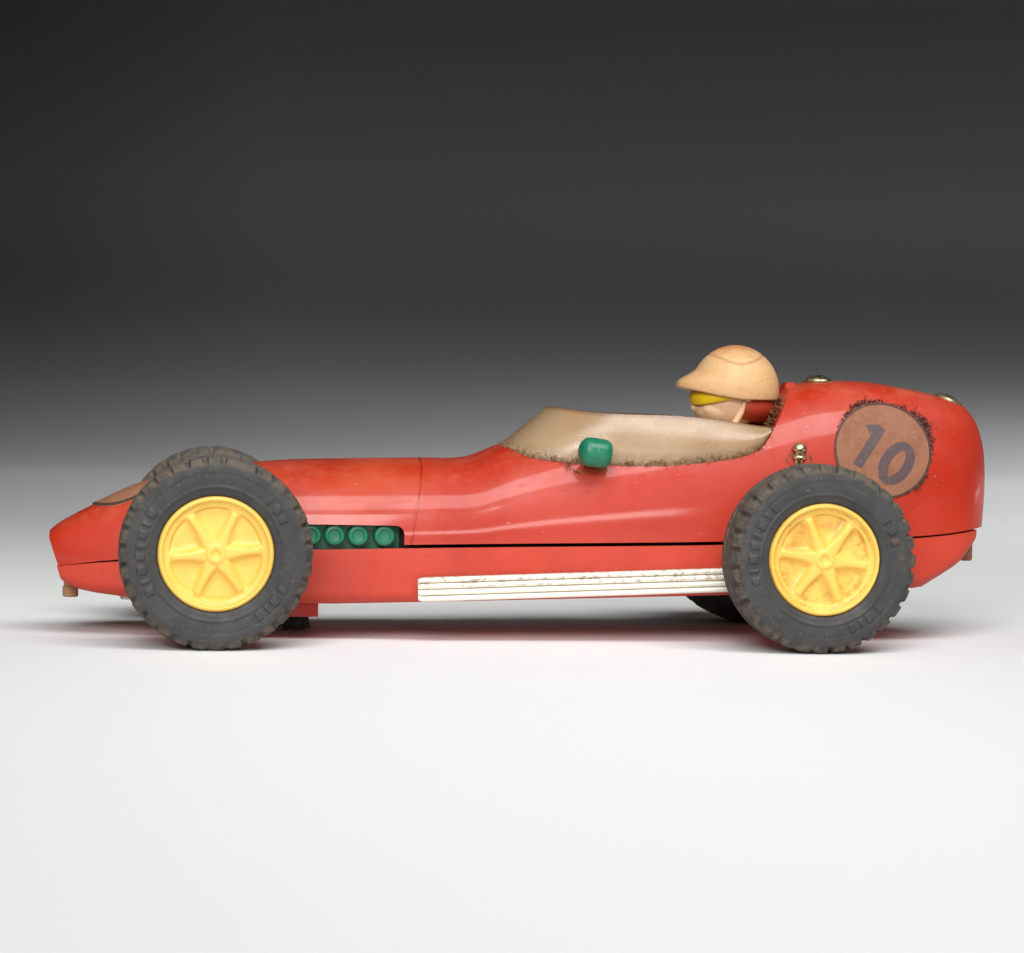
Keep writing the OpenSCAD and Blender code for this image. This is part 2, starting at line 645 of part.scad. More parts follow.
shoulder_r = 3.4;
module tyre() {
    w = tyre_w;
    s = shoulder_r;
    color("dimgray") rotate_extrude() polygon(concat([[hub_r, 0.6], [hub_r, 12.6], [hub_r + 0.4, 13]],
        [[12, w], [13.6, w - 0.1]],
        [for (a = [15:15:90]) [tyre_r - s + s * sin(a), w - 0.2 - s + s * cos(a)]],
        [for (a = [90:-15:15]) [tyre_r - s + s * sin(a), 0.2 + s - s * cos(a)]],
        [[13.6, 0.1], [12, 0], [hub_r + 0.4, 0.3]]));
}
module tyre_front_left() { at_wheel(front_x, -1) tyre(); }
module tyre_front_right() { at_wheel(front_x, 1) tyre(); }
module tyre_rear_left() { at_wheel(rear_x, -1) tyre(); }
module tyre_rear_right() { at_wheel(rear_x, 1) tyre(); }

// Side plate of the motor with a foot turned outward
module motor_plate(y, side) {
    foot = 4.6;
    color("darkgray") difference() {
        union() {
            translate([0, y + plate_t, 0]) rotate([90, 0, 0]) linear_extrude(plate_t)
                polygon([[43.2, motor_foot_z], [69.4, motor_foot_z], [69.4, 20], [65.5, 36], [59.5, 36.6],
                    [49, 29.3], [43.2, 29.3]]);
            for (x = [43.3, 64.8]) translate([x, side < 0 ? y - foot : y, motor_foot_z])
                cube([4.4, foot + plate_t, 0.9]);
        }
        shaft_bore(rear_x, axle_z, axle_r);
        shaft_bore(arbor_x, arbor_z, arbor_r);
        shaft_bore(flywheel_x, flywheel_z, arbor_r);
        for (p = foot_screws) translate([p[0], p[1], 10]) cylinder(r = screw_r + 0.1, h = 4);
        for (p = pillars) translate([p[0], 20, p[1]]) rotate([90, 0, 0]) cylinder(r = 0.8, h = 40);
    }
}
module shaft_bore(x, z, r) {
    translate([x, 20, z]) rotate([90, 0, 0]) cylinder(r = r + play, h = 40);
}
module motor_plate_left() { motor_plate(plate_left_y, -1); }
module motor_plate_right() { motor_plate(plate_right_y, 1); }

// Pillars with a riveted end through each plate
module motor_pillars() {
    inner = plate_right_y - plate_left_y - plate_t;
    color("silver") for (p = pillars) translate([p[0], plate_left_y - 0.5, p[1]]) rotate([-90, 0, 0]) {
        cylinder(r = 0.8, h = inner + 2 * plate_t + 1);
        translate([0, 0, plate_t + 0.5]) cylinder(r = 1.3, h = inner);
    }
}

// Involute gear drawn about its own axis, with a tooth on +X and thin teeth for easy running
tooth_share = 0.44;
function involute(base, r) = let (t = sqrt(max(0, pow(r / base, 2) - 1))) t * 180 / PI - atan(t);
function flank(pitch, base, teeth, r) = 180 * tooth_share / teeth + involute(base, pitch)
    - involute(base, max(r, base));
module gear_outline(teeth) {
    pitch = gear_module * teeth / 2;
    base = pitch * cos(pressure_angle);
    tip = pitch + 0.8 * gear_module;
    root = pitch - 1.1 * gear_module;
    steps = [for (k = [0:3]) root + (tip - root) * k / 3];
    polygon([for (n = [0:teeth - 1]) each let (mid = n * 360 / teeth) concat(
        [for (r = steps) r * [cos(mid - flank(pitch, base, teeth, r)), sin(mid - flank(pitch, base, teeth, r))]],
        [for (k = [3:-1:0]) let (r = steps[k], a = mid + flank(pitch, base, teeth, r)) r * [cos(a), sin(a)]])]);
}
// A gear on a shaft along Y: turn is measured from +X toward +Z
module gear(x, z, y, teeth, turn, bore) {
    translate([x, y + gear_w, z]) rotate([90, 0, 0]) linear_extrude(gear_w) difference() {
        rotate(turn) gear_outline(teeth);
        circle(bore);
    }
}
first_mesh_y = -4;
second_mesh_y = 0.6;
module axle_gear() {
    color("goldenrod") gear(rear_x, axle_z, first_mesh_y, gear_teeth, arbor_lift, axle_r);
}
module arbor_pinion() {
    color("goldenrod") gear(arbor_x, arbor_z, first_mesh_y, pinion_teeth,
        arbor_lift + 180 + 180 / pinion_teeth, arbor_r);
}
module arbor_gear() {
    color("goldenrod") gear(arbor_x, arbor_z, second_mesh_y, gear_teeth, flywheel_lift, arbor_r);
}
module flywheel_pinion() {
    color("goldenrod") gear(flywheel_x, flywheel_z, second_mesh_y, pinion_teeth,
        flywheel_lift + 180 + 180 / pinion_teeth, arbor_r);
}
module shaft(x, z, from, to) {
    color("silver") translate([x, from, z]) rotate([-90, 0, 0]) cylinder(r = arbor_r, h = to - from);
}
module arbor_shaft() { shaft(arbor_x, arbor_z, plate_left_y - 0.8, plate_right_y + plate_t + 0.4); }
module flywheel_shaft() { shaft(flywheel_x, flywheel_z, plate_left_y - 0.8, 10); }
flywheel_y = 4.6;
module flywheel() {
    color("slategray") translate([flywheel_x, flywheel_y, flywheel_z]) rotate([-90, 0, 0]) difference() {
        rotate_extrude() polygon([[arbor_r, 0], [flywheel_r, 0], [flywheel_r, 4.6], [6.4, 4.6], [6.4, 2],
            [2.6, 2], [2.6, 5], [arbor_r, 5]]);
    }
}

// Screws that hold the pan to the upper body, heads below
module body_screws() {
    color("silver") for (x = body_screw_xs) translate([x, 0, keel(x)]) {
        cylinder(r = screw_r, h = 8);
        translate([0, 0, -1]) cylinder(r1 = screw_head_r - 0.4, r2 = screw_head_r, h = 0.95);
    }
}
// Screws that hold the motor's feet to the pads of the pan
module motor_screws() {
    color("silver") for (p = foot_screws) translate([p[0], p[1], motor_foot_z - 2.4]) {
        cylinder(r = screw_r - 0.2, h = 3.4);
        translate([0, 0, 3.35]) cylinder(r = 1.6, h = 0.7);
    }
}

// Peg under the nose, held by its head inside the pan
peg_x = -81.4;
peg_r = 1.4;
peg_low = 6.2;
peg_l = 1.8;
module guide_peg() {
    color("peru") translate([peg_x, 0, peg_low]) {
        cylinder(r = peg_r, h = peg_l);
        cylinder(r = peg_r - 0.2, h = 4);
        translate([0, 0, keel(peg_x) - peg_low + wall + 0.25]) cylinder(r = 1.9, h = 0.9);
    }
}

// Sheet tab that stands out of the pan under the tail
module tail_clip() {
    color("sienna") translate([tab_x, -tab_w / 2, 14.4]) cube([tab_l, tab_w, 4.8]);
}

// Block under the pan that holds a brush of bristles
brush_x = -41.6;
brush_low = 3.4;
module brush_holder() {
    color("firebrick") union() {
        translate([brush_x - 4.1, -6, brush_low]) cube([8.2, 12, keel(brush_x) - brush_low - 0.05]);
        for (y = [-4, 4]) translate([brush_x, y, brush_low]) cylinder(r = 1.1, h = 4);
    }
}
module bristle_tuft() {
    color("black") moulded() hull() {
        translate([brush_x - 2.6, -3, brush_low - 0.05]) cube([5.6, 6, 0.01]);
        translate([brush_x - 0.6, -1, 0.5]) cube([1.6, 2, 0.01]);
    }
}

upper_body();
lower_pan();
radiator_grille();
windscreen();
cockpit_tub();
dashboard();
steering_column();
steering_wheel();
driver_torso();
driver_head();
driver_helmet();
driver_goggles();
driver_neck_flap();
mirror_left();
mirror_right();
engine_block();
engine_ends_left();
engine_ends_right();
exhaust_left();
exhaust_right();
filler_cap_headrest();
filler_cap_tail();
side_cap_left();
side_cap_right();
roundel_left();
roundel_right();
roundel_nose();
front_bearing();
front_axle();
hub_front_left();
hub_front_right();
tyre_front_left();
tyre_front_right();
rear_axle();
hub_rear_left();
hub_rear_right();
tyre_rear_left();
tyre_rear_right();
motor_plate_left();
motor_plate_right();
motor_pillars();
axle_gear();
arbor_shaft();
arbor_pinion();
arbor_gear();
flywheel_shaft();
flywheel_pinion();
flywheel();
body_screws();
motor_screws();
guide_peg();
tail_clip();
brush_holder();
bristle_tuft();
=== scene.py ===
import bpy, bmesh, math
from math import sin, cos, pi, radians
import numpy as np
from mathutils import Matrix, Vector


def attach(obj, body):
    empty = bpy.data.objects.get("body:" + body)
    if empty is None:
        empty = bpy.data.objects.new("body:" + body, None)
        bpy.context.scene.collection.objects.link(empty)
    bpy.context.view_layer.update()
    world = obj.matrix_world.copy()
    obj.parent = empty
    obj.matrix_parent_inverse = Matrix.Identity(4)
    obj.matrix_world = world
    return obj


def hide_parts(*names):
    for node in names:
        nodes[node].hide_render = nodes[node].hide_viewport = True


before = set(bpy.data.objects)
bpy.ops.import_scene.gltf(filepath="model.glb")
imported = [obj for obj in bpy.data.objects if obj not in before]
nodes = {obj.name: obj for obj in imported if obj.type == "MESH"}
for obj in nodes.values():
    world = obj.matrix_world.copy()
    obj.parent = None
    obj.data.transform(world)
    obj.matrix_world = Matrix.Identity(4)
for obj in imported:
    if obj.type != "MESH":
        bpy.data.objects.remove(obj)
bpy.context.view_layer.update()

# Toy single-seat racing car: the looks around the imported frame. Lengths are millimetres until a mesh is made.
MM = 0.001
rng = np.random.default_rng(7)
scene = bpy.context.scene
scene.view_settings.view_transform = "Standard"


# ---- driving dimensions, as in the CAD ----
body_half, wall, seam_gap, widest_x, bilge_r = 17.5, 1.3, 0.35, 10, 2.2
tyre_r, tyre_w, hub_r, wheel_y = 16.3, 14, 9.75, 22
front_x, rear_x, axle_r = -56.2, 47.6, 1.25
axle_z = tyre_r
roundel_r, cap_r, stub_r = 8.8, 2.6, 1.84
nose_x, tail_x = -85.1, 85.1
crown_line = [[-86, 17.3], [-83.4, 19.5], [-78, 22.5], [-69.5, 26.5], [-58, 29.3], [-46, 31],
    [-32, 31.6], [-19.4, 31.9], [-11, 32.2], [-5, 34.5], [4, 37], [20, 39.5], [38, 43], [48, 46],
    [54, 46.9], [62, 47], [70, 45.9], [76.4, 44.6], [80.8, 43.1], [83.3, 40.4], [84.6, 36.8], [86, 30]]
seam_line = [[-86, 12], [-72, 13.7], [-39, 16.5], [34.6, 18.3], [70, 19.4], [86, 20.9]]
keel_line = [[-83.2, 9.8], [-82, 8.8], [-79.5, 8], [-69, 6.6], [-36, 6.4], [35, 8.6], [71, 9.9],
    [79.9, 14.8], [82.8, 17.8], [84, 19.3]]
square_line = [[-86, 2.2], [-20, 2.3], [20, 2.6], [60, 2.5], [86, 2.3]]
cockpit_line = [[-4.8, 34.5], [-1, 32.6], [8, 31.6], [20.6, 31.4], [33, 32.5], [40.2, 34.6],
    [43.1, 38.3], [47.7, 46.1]]
slot_front, slot_rear, slot_top, slot_r = -50, -23.2, 20.4, 1.6
engine_end_xs, engine_end_z = [-39.4, -35.3, -31.2, -26.6], 18.5
exhaust_front, exhaust_rear, exhaust_h, exhaust_y = (-20.8, 9.3), (42, 11.8), 4.4, 17.15
driver_x, helmet_z, helmet_r, shoulder_z = 38.4, 44.9, 8.15, 33.2
rim_line = [[0, 42], [12, 40.6], [27, 40.2], [42, 38.5]]
rim_front_x, screen_rear_x, screen_t = 3.6, 42.2, 0.8
roundel_x, roundel_z, roundel_squash = 63.1, 34.7, 0.92
nose_disc_x, nose_disc_r = -70.5, 7.2
peg_x, brush_x, brush_low = -81.4, -41.6, 3.4
tab_x, tab_l, tab_w = 80.4, 2.3, 9


def clamp(v, lo, hi):
    return max(lo, min(hi, v))


def along(p, x):
    i = 0
    while i < len(p) - 2 and x >= p[i + 1][0]:
        i += 1
    def steep(k):
        a, b = max(k - 1, 0), min(k + 1, len(p) - 1)
        return (p[b][1] - p[a][1]) / (p[b][0] - p[a][0])
    h = p[i + 1][0] - p[i][0]
    t = (x - p[i][0]) / h
    return (p[i][1] * (1 + 2 * t) * (1 - t) ** 2 + steep(i) * h * t * (1 - t) ** 2
        + p[i + 1][1] * t * t * (3 - 2 * t) - steep(i + 1) * h * t * t * (1 - t))


def round_turn(steps):
    """Angles once round, without the last one."""
    return np.linspace(0, 2 * pi, steps, endpoint=False)


def lookup(p, x):
    return float(np.interp(x, [q[0] for q in p], [q[1] for q in p]))


def oval(u, power):
    return max(0.0, 1 - max(0.0, u) ** power) ** (1 / power)


def half_width(x):
    if x < widest_x:
        return body_half * oval((widest_x - x) / 98.5, 2.3)
    return body_half * oval((x - widest_x) / 75.9, 2.8)


seam = lambda x: along(seam_line, x)
crown = lambda x: along(crown_line, x)
keel = lambda x: lookup(keel_line, x)
squareness = lambda x: lookup(square_line, x)


def leant(x, z):
    return (x + 0.35 * max(0, 17 - z) * clamp((-76 - x) / 8, 0, 1)
        - 0.07 * max(0, 35 - z) * clamp((x - 78) / 7, 0, 1))


def side_y(x, z, inset=0.0):
    return (half_width(x) - inset) * oval(clamp((z - seam(x)) / (crown(x) - inset - seam(x)), 0, 1),
        squareness(x))


def top_z(x, y):
    return seam(x) + (crown(x) - seam(x)) * oval(clamp(abs(y) / half_width(x), 0, 1), squareness(x))


def skin(x, a, inset=0.0):
    n, w = squareness(x), half_width(x) - inset
    z = seam(x) + (crown(x) - inset - seam(x)) * max(0.0, sin(a)) ** (2 / n)
    c = cos(a)
    return (leant(x, z), w * math.copysign(abs(c) ** (2 / n), c), z)


# ---- mesh helpers ----
def new_mesh(name, verts, faces, smooth=40):
    me = bpy.data.meshes.new(name)
    me.from_pydata([tuple(float(c) * MM for c in v) for v in verts], [], [tuple(f) for f in faces])
    me.validate()
    ob = bpy.data.objects.new(name, me)
    scene.collection.objects.link(ob)
    outward(ob)
    soften(ob, smooth)
    return ob


def outward(ob):
    bm = bmesh.new()
    bm.from_mesh(ob.data)
    bmesh.ops.recalc_face_normals(bm, faces=bm.faces)
    bm.to_mesh(ob.data)
    bm.free()


def soften(ob, angle=40):
    me = ob.data
    me.shade_smooth()
    me.set_sharp_from_angle(angle=radians(angle))


def rings_mesh(name, rings, closed=True, caps=True, smooth=40):
    """A skin through rings of points; closed joins each ring's ends, caps fills the first and last."""
    m = len(rings[0])
    verts = [p for r in rings for p in r]
    faces = []
    for i in range(len(rings) - 1):
        for j in range(m if closed else m - 1):
            a, b = i * m + j, i * m + (j + 1) % m
            faces.append((a, b, b + m, a + m))
    if caps:
        faces.append(tuple(range(m - 1, -1, -1)))
        faces.append(tuple((len(rings) - 1) * m + j for j in range(m)))
    return new_mesh(name, verts, faces, smooth)


def lathe(name, profile, steps=96, at=(0, 0, 0), turn=None, smooth=35):
    """profile: [radius, height] from the axis out and back to the axis."""
    rows, faces = [], []
    verts = []
    idx = []
    for r, h in profile:
        if r < 1e-6:
            idx.append([len(verts)] * steps)
            verts.append((0, 0, h))
        else:
            idx.append([len(verts) + k for k in range(steps)])
            verts += [(r * cos(2 * pi * k / steps), r * sin(2 * pi * k / steps), h) for k in range(steps)]
    for a, b in zip(idx[:-1], idx[1:]):
        for k in range(steps):
            q = [a[k], a[(k + 1) % steps], b[(k + 1) % steps], b[k]]
            f = [v for n, v in enumerate(q) if v not in q[:n]]
            if len(f) > 2:
                faces.append(f)
    m = Matrix.Translation(at) @ (turn.to_4x4() if turn else Matrix.Identity(4))
    verts = [tuple(m @ Vector(v)) for v in verts]
    return new_mesh(name, verts, faces, smooth)


def box_mesh(name, lo, hi):
    (x0, y0, z0), (x1, y1, z1) = lo, hi
    v = [(x, y, z) for x in (x0, x1) for y in (y0, y1) for z in (z0, z1)]
    return new_mesh(name, v, [(0, 1, 3, 2), (4, 6, 7, 5), (0, 4, 5, 1), (2, 3, 7, 6), (0, 2, 6, 4),
        (1, 5, 7, 3)])


def ball(name, at, radii, rings=24, steps=32, turn=None):
    prof = [(sin(pi * k / rings), -cos(pi * k / rings)) for k in range(rings + 1)]
    prof[0], prof[-1] = (0, -1), (0, 1)
    ob = lathe(name, prof, steps)
    m = Matrix.Translation(Vector(at)) @ (turn.to_4x4() if turn
        else Matrix.Identity(4)) @ Matrix.Diagonal((*radii, 1))
    for v in ob.data.vertices:
        v.co = (m @ (v.co / MM)) * MM
    return ob


def rod(name, a, b, ra, rb=None, steps=24, caps=4):
    """A limb between two points with round ends."""
    rb = ra if rb is None else rb
    a, b = Vector(a), Vector(b)
    d = b - a
    L = d.length
    prof = [(ra * sin(pi / 2 * k / caps), -ra * cos(pi / 2 * k / caps)) for k in range(caps + 1)]
    prof += [(rb * cos(pi / 2 * k / caps), L + rb * sin(pi / 2 * k / caps)) for k in range(caps + 1)]
    prof[0], prof[-1] = (0, -ra), (0, L + rb)
    return lathe(name, prof, steps, a, d.to_track_quat("Z", "Y").to_matrix())


def applied(ob):
    """The object's modifiers become its mesh."""
    dg = bpy.context.evaluated_depsgraph_get()
    me = bpy.data.meshes.new_from_object(ob.evaluated_get(dg))
    ob.modifiers.clear()
    old = ob.data
    ob.data = me
    bpy.data.meshes.remove(old)
    return ob


def boolean(ob, others, op="DIFFERENCE", keep=False):
    for o in others:
        m = ob.modifiers.new("b", "BOOLEAN")
        m.operation, m.object, m.solver = op, o, "EXACT"
        applied(ob)
        if not keep:
            bpy.data.objects.remove(o, do_unlink=True)
    return ob


def joined(name, obs):
    bm = bmesh.new()
    for o in obs:
        bm.from_mesh(o.data)
        bpy.data.objects.remove(o, do_unlink=True)
    me = bpy.data.meshes.new(name)
    bm.to_mesh(me)
    bm.free()
    ob = bpy.data.objects.new(name, me)
    scene.collection.objects.link(ob)
    soften(ob)
    return ob


def melted(name, obs, voxel=0.3, smooth=6, factor=0.5):
    """Overlapping solids fused into one softly moulded skin."""
    ob = joined(name, obs)
    m = ob.modifiers.new("v", "REMESH")
    m.mode, m.voxel_size, m.use_smooth_shade = "VOXEL", voxel * MM, True
    if smooth:
        s = ob.modifiers.new("s", "SMOOTH")
        s.iterations, s.factor = smooth, factor
    applied(ob)
    ob.data.shade_smooth()
    return ob


def bevelled(ob, width=0.2, segments=2, angle=40):
    m = ob.modifiers.new("e", "BEVEL")
    m.width, m.segments, m.limit_method, m.angle_limit = width * MM, segments, "ANGLE", radians(angle)
    m.miter_outer = "MITER_ARC"
    applied(ob)
    soften(ob, 40)
    return ob


def mirrored(ob, name):
    me = ob.data.copy()
    for v in me.vertices:
        v.co.y = -v.co.y
    me.flip_normals()
    o = bpy.data.objects.new(name, me)
    scene.collection.objects.link(o)
    return o


def place(ob, body, slot, material, *stands_for):
    ob.data.materials.clear()
    ob.data.materials.append(material)
    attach(ob, body)
    if stands_for:
        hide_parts(*stands_for)
    return ob


def marked(ob, name, values):
    """A number at every vertex that a material reads, such as where dirt gathers."""
    at = ob.data.attributes.new(name, "FLOAT", "POINT")
    at.data.foreach_set("value", [float(v) for v in values])
    return ob


# ---- materials ----
def lin(c):
    return tuple(((v / 255 + 0.055) / 1.055) ** 2.4 if v > 10 else v / 255 / 12.92 for v in c[:3]) + (1,)


class Finish:
    """A node material built up layer by layer over one base colour."""
    def __init__(self, name, colour, rough=0.4, **sockets):
        self.m = bpy.data.materials.new(name)
        self.m.use_nodes = True
        self.t = self.m.node_tree
        self.b = self.t.nodes["Principled BSDF"]
        self.coord = self.t.nodes.new("ShaderNodeTexCoord").outputs["Object"]
        s = self.t.nodes.new("ShaderNodeVectorMath")
        s.operation = "SCALE"
        self.t.links.new(self.coord, s.inputs[0])
        s.inputs["Scale"].default_value = 1000
        self.mm = s.outputs[0]
        self.colour = None
        self.base = lin(colour)
        self.b.inputs["Base Color"].default_value = self.base
        self.b.inputs["Roughness"].default_value = rough
        self.rough_value, self.rough = rough, None
        self.height = None
        for k, v in sockets.items():
            self.b.inputs[k.replace("_", " ")].default_value = v

    def link(self, a, b):
        self.t.links.new(a, b)

    def noise(self, scale, detail=3, rough=0.55, distort=0.0, stretch=(1, 1, 1), seed=0.0):
        """Noise whose cells are scale millimetres across."""
        vec = self.mm
        mp = self.t.nodes.new("ShaderNodeMapping")
        mp.inputs["Scale"].default_value = [k / scale for k in stretch]
        mp.inputs["Location"].default_value = (seed * 3.7, seed * 1.9, seed * 5.3)
        self.link(vec, mp.inputs[0])
        n = self.t.nodes.new("ShaderNodeTexNoise")
        n.inputs["Scale"].default_value = 1
        n.inputs["Detail"].default_value = detail
        n.inputs["Roughness"].default_value = rough
        n.inputs["Distortion"].default_value = distort
        self.link(mp.outputs[0], n.inputs["Vector"])
        return n.outputs["Fac"]

    def cells(self, scale, seed=0.0, feature="F1"):
        mp = self.t.nodes.new("ShaderNodeMapping")
        mp.inputs["Scale"].default_value = [1 / scale] * 3
        mp.inputs["Location"].default_value = (seed * 2.3, seed, seed * 4.1)
        self.link(self.mm, mp.inputs[0])
        n = self.t.nodes.new("ShaderNodeTexVoronoi")
        n.feature = feature
        n.inputs["Scale"].default_value = 1
        self.link(mp.outputs[0], n.inputs["Vector"])
        return n.outputs["Distance"]

    def ramp(self, fac, lo, hi, a=0.0, b=1.0):
        n = self.t.nodes.new("ShaderNodeMapRange")
        n.interpolation_type = "SMOOTHSTEP"
        for k, v in zip(("From Min", "From Max", "To Min", "To Max"), (lo, hi, a, b)):
            n.inputs[k].default_value = v
        self.link(fac, n.inputs["Value"])
        return n.outputs["Result"]

    def math(self, op, a, b=None):
        n = self.t.nodes.new("ShaderNodeMath")
        n.operation = op
        for k, v in enumerate((a, b)):
            if v is None:
                continue
            if isinstance(v, (int, float)):
                n.inputs[k].default_value = v
            else:
                self.link(v, n.inputs[k])
        return n.outputs[0]

    def times(self, a, b):
        return self.math("MULTIPLY", a, b)

    def mark(self, name):
        n = self.t.nodes.new("ShaderNodeAttribute")
        n.attribute_name = name
        return n.outputs["Fac"]

    def axis(self, which):
        n = self.t.nodes.new("ShaderNodeSeparateXYZ")
        self.link(self.mm, n.inputs[0])
        return n.outputs[which]

    def up(self, lo=0.3, hi=0.95):
        g = self.t.nodes.new("ShaderNodeNewGeometry")
        n = self.t.nodes.new("ShaderNodeSeparateXYZ")
        self.link(g.outputs["Normal"], n.inputs[0])
        return self.ramp(n.outputs["Z"], lo, hi)


    def tint(self, fac, colour, strength=1.0):
        """colour is mixed over what is there by fac."""
        n = self.t.nodes.new("ShaderNodeMix")
        n.data_type = "RGBA"
        if strength != 1:
            fac = self.times(fac, strength)
        self.link(fac, n.inputs["Factor"])
        if self.colour is None:
            n.inputs["A"].default_value = self.base
            n.inputs[6].default_value = self.base
        else:
            self.link(self.colour, n.inputs[6])
        n.inputs[7].default_value = lin(colour)
        self.colour = n.outputs[2]
        return self

    def dull(self, fac, value, strength=1.0):
        """Roughness goes to value where fac is 1."""
        n = self.t.nodes.new("ShaderNodeMix")
        if strength != 1:
            fac = self.times(fac, strength)
        self.link(fac, n.inputs["Factor"])
        if self.rough is None:
            n.inputs["A"].default_value = self.rough_value
        else:
            self.link(self.rough, n.inputs["A"])
        n.inputs["B"].default_value = value
        self.rough = n.outputs[0]
        return self

    def raise_(self, fac, amount):
        """Adds amount millimetres of relief times fac."""
        h = self.times(fac, amount * MM)
        self.height = h if self.height is None else self.math("ADD", self.height, h)
        return self

    def done(self):
        if self.colour is not None:
            self.link(self.colour, self.b.inputs["Base Color"])
        if self.rough is not None:
            self.link(self.rough, self.b.inputs["Roughness"])
        if self.height is not None:
            n = self.t.nodes.new("ShaderNodeBump")
            n.inputs["Distance"].default_value = 1.0
            n.inputs["Strength"].default_value = 1.0
            self.link(self.height, n.inputs["Height"])
            self.link(n.outputs[0], self.b.inputs["Normal"])
        return self.m


def moulded(name, colour, dark, dusty, rough=0.3, dust=0.35, grime=0.3, relief=0.03, **kw):
    """Old moulded plastic: mottled colour, dust on what faces up, fine scratches and specks."""
    f = Finish(name, colour, rough, **kw)
    f.tint(f.ramp(f.noise(22, 4, 0.6, seed=1), 0.42, 0.68), dark, grime)
    f.tint(f.times(f.up(), f.ramp(f.noise(7, 6, 0.7, seed=2), 0.35, 0.7)), dusty, dust)
    f.tint(f.ramp(f.noise(0.55, 2, 0.6, seed=3), 0.68, 0.78), dusty, min(1, dust * 1.3))
    f.tint(f.ramp(f.cells(3.1, seed=4), 0.1, 0.04), dark, 0.5)
    f.dull(f.ramp(f.noise(9, 5, 0.65, seed=5), 0.3, 0.75), min(1, rough + 0.3))
    f.dull(f.ramp(f.noise(1.1, 3, 0.6, stretch=(0.25, 1, 1), seed=6), 0.6, 0.7), min(1, rough + 0.35), 0.6)
    f.raise_(f.noise(6, 4, 0.5, seed=7), relief)
    f.raise_(f.noise(0.5, 2, 0.5, stretch=(0.3, 1, 1), seed=8), 0.002)
    return f


red_f = moulded("upper_red_plastic", (182, 43, 15), (154, 31, 10), (214, 124, 92), rough=0.42, dust=0.34,
    grime=0.45, Coat_Weight=0.4, Coat_Roughness=0.09)
red_f.tint(red_f.ramp(red_f.noise(30, 3, 0.5, seed=21), 0.45, 0.75), (200, 72, 30), 0.5)
red_f.tint(red_f.times(red_f.ramp(red_f.noise(0.35, 2, 0.5, stretch=(0.12, 1, 1), seed=22), 0.72,
    0.78),
    red_f.ramp(red_f.noise(12, 2, 0.5, seed=23), 0.5, 0.6)), (240, 190, 176), 0.6)
red = red_f.done()
pan_red = moulded("pan_red_plastic", (194, 58, 36), (160, 40, 20), (212, 134, 112), rough=0.4, dust=0.3,
    grime=0.5).done()
def hub_finish(name, grime):
    f = moulded(name, (232, 190, 88), (226, 162, 58), (246, 222, 150), rough=0.26, dust=0.2, grime=0.35)
    g = f.times(f.mark("grime"), f.ramp(f.noise(3.4, 5, 0.7, seed=31), 0.40, 0.66))
    f.tint(g, (178, 112, 40), grime)
    f.tint(f.times(f.mark("grime"), f.ramp(f.noise(0.35, 2, 0.6, seed=32), 0.66, 0.7)),
        (70, 44, 24), grime * 0.8)
    f.tint(f.ramp(f.noise(0.6, 2, 0.6, stretch=(1, 1, 0.4), seed=33), 0.74, 0.78), (150, 100, 40), 0.6)
    return f.done()


yellow = hub_finish("hub_yellow_plastic", 0.12)
yellow_grimy = hub_finish("hub_yellow_plastic_grimy", 0.8)
brown = moulded("tub_brown_plastic", (120, 72, 40), (70, 40, 22), (170, 140, 105), rough=0.5,
    dust=0.6).done()
green = moulded("trim_green_plastic", (20, 112, 82), (12, 92, 66), (120, 180, 150), rough=0.3,
    dust=0.25).done()
cream_f = moulded("helmet_cream_plastic", (218, 172, 122), (198, 130, 80), (240, 208, 164), rough=0.34,
    dust=0.2,
    grime=0.5, Subsurface_Weight=0.08)
cream_f.tint(cream_f.times(cream_f.up(0.45, 1.0), cream_f.ramp(cream_f.noise(6, 4, 0.6, seed=41),
    0.3, 0.65)), (196, 120, 74), 0.75)
cream_f.tint(cream_f.mark("line"), (150, 96, 62), 0.75)
cream_f.tint(cream_f.times(cream_f.ramp(cream_f.noise(5, 4, 0.6, distort=1.5, seed=42), 0.49,
    0.5), cream_f.ramp(cream_f.noise(5, 4, 0.6, distort=1.5, seed=42), 0.512, 0.5)), (176, 116, 78), 0.5)
cream = cream_f.done()
overall = moulded("driver_cream_plastic", (232, 196, 136), (190, 140, 84), (245, 226, 190), rough=0.42,
    dust=0.3).done()
face = moulded("driver_skin_paint", (255, 206, 164), (236, 160, 118), (244, 208, 176), rough=0.38,
    dust=0.12,
    grime=0.4, Subsurface_Weight=0.1).done()
ochre = moulded("goggle_yellow_paint", (248, 206, 30), (190, 130, 16), (240, 214, 110), rough=0.28,
    dust=0.12).done()
maroon = moulded("flap_maroon_paint", (172, 54, 26), (104, 30, 16), (190, 100, 60), rough=0.36, dust=0.2,
    grime=0.7).done()
black = moulded("grille_black_plastic", (34, 32, 31), (16, 15, 15), (110, 100, 92), rough=0.5,
    dust=0.4).done()
amber = moulded("peg_amber_plastic", (168, 128, 86), (120, 84, 50), (200, 170, 130), rough=0.35,
    dust=0.3).done()


def metal(name, colour, dirt, rough=0.25, dirty=0.4, metallic=1.0, relief=0.02):
    f = Finish(name, colour, rough, Metallic=metallic)
    f.tint(f.ramp(f.noise(5, 5, 0.7, seed=1), 0.45, 0.7), dirt, dirty)
    f.tint(f.ramp(f.noise(0.8, 3, 0.6, seed=2), 0.62, 0.72), dirt, dirty)
    f.dull(f.ramp(f.noise(3, 5, 0.7, seed=3), 0.35, 0.7), rough + 0.3)
    f.raise_(f.noise(2.5, 4, 0.5, seed=4), relief)
    return f


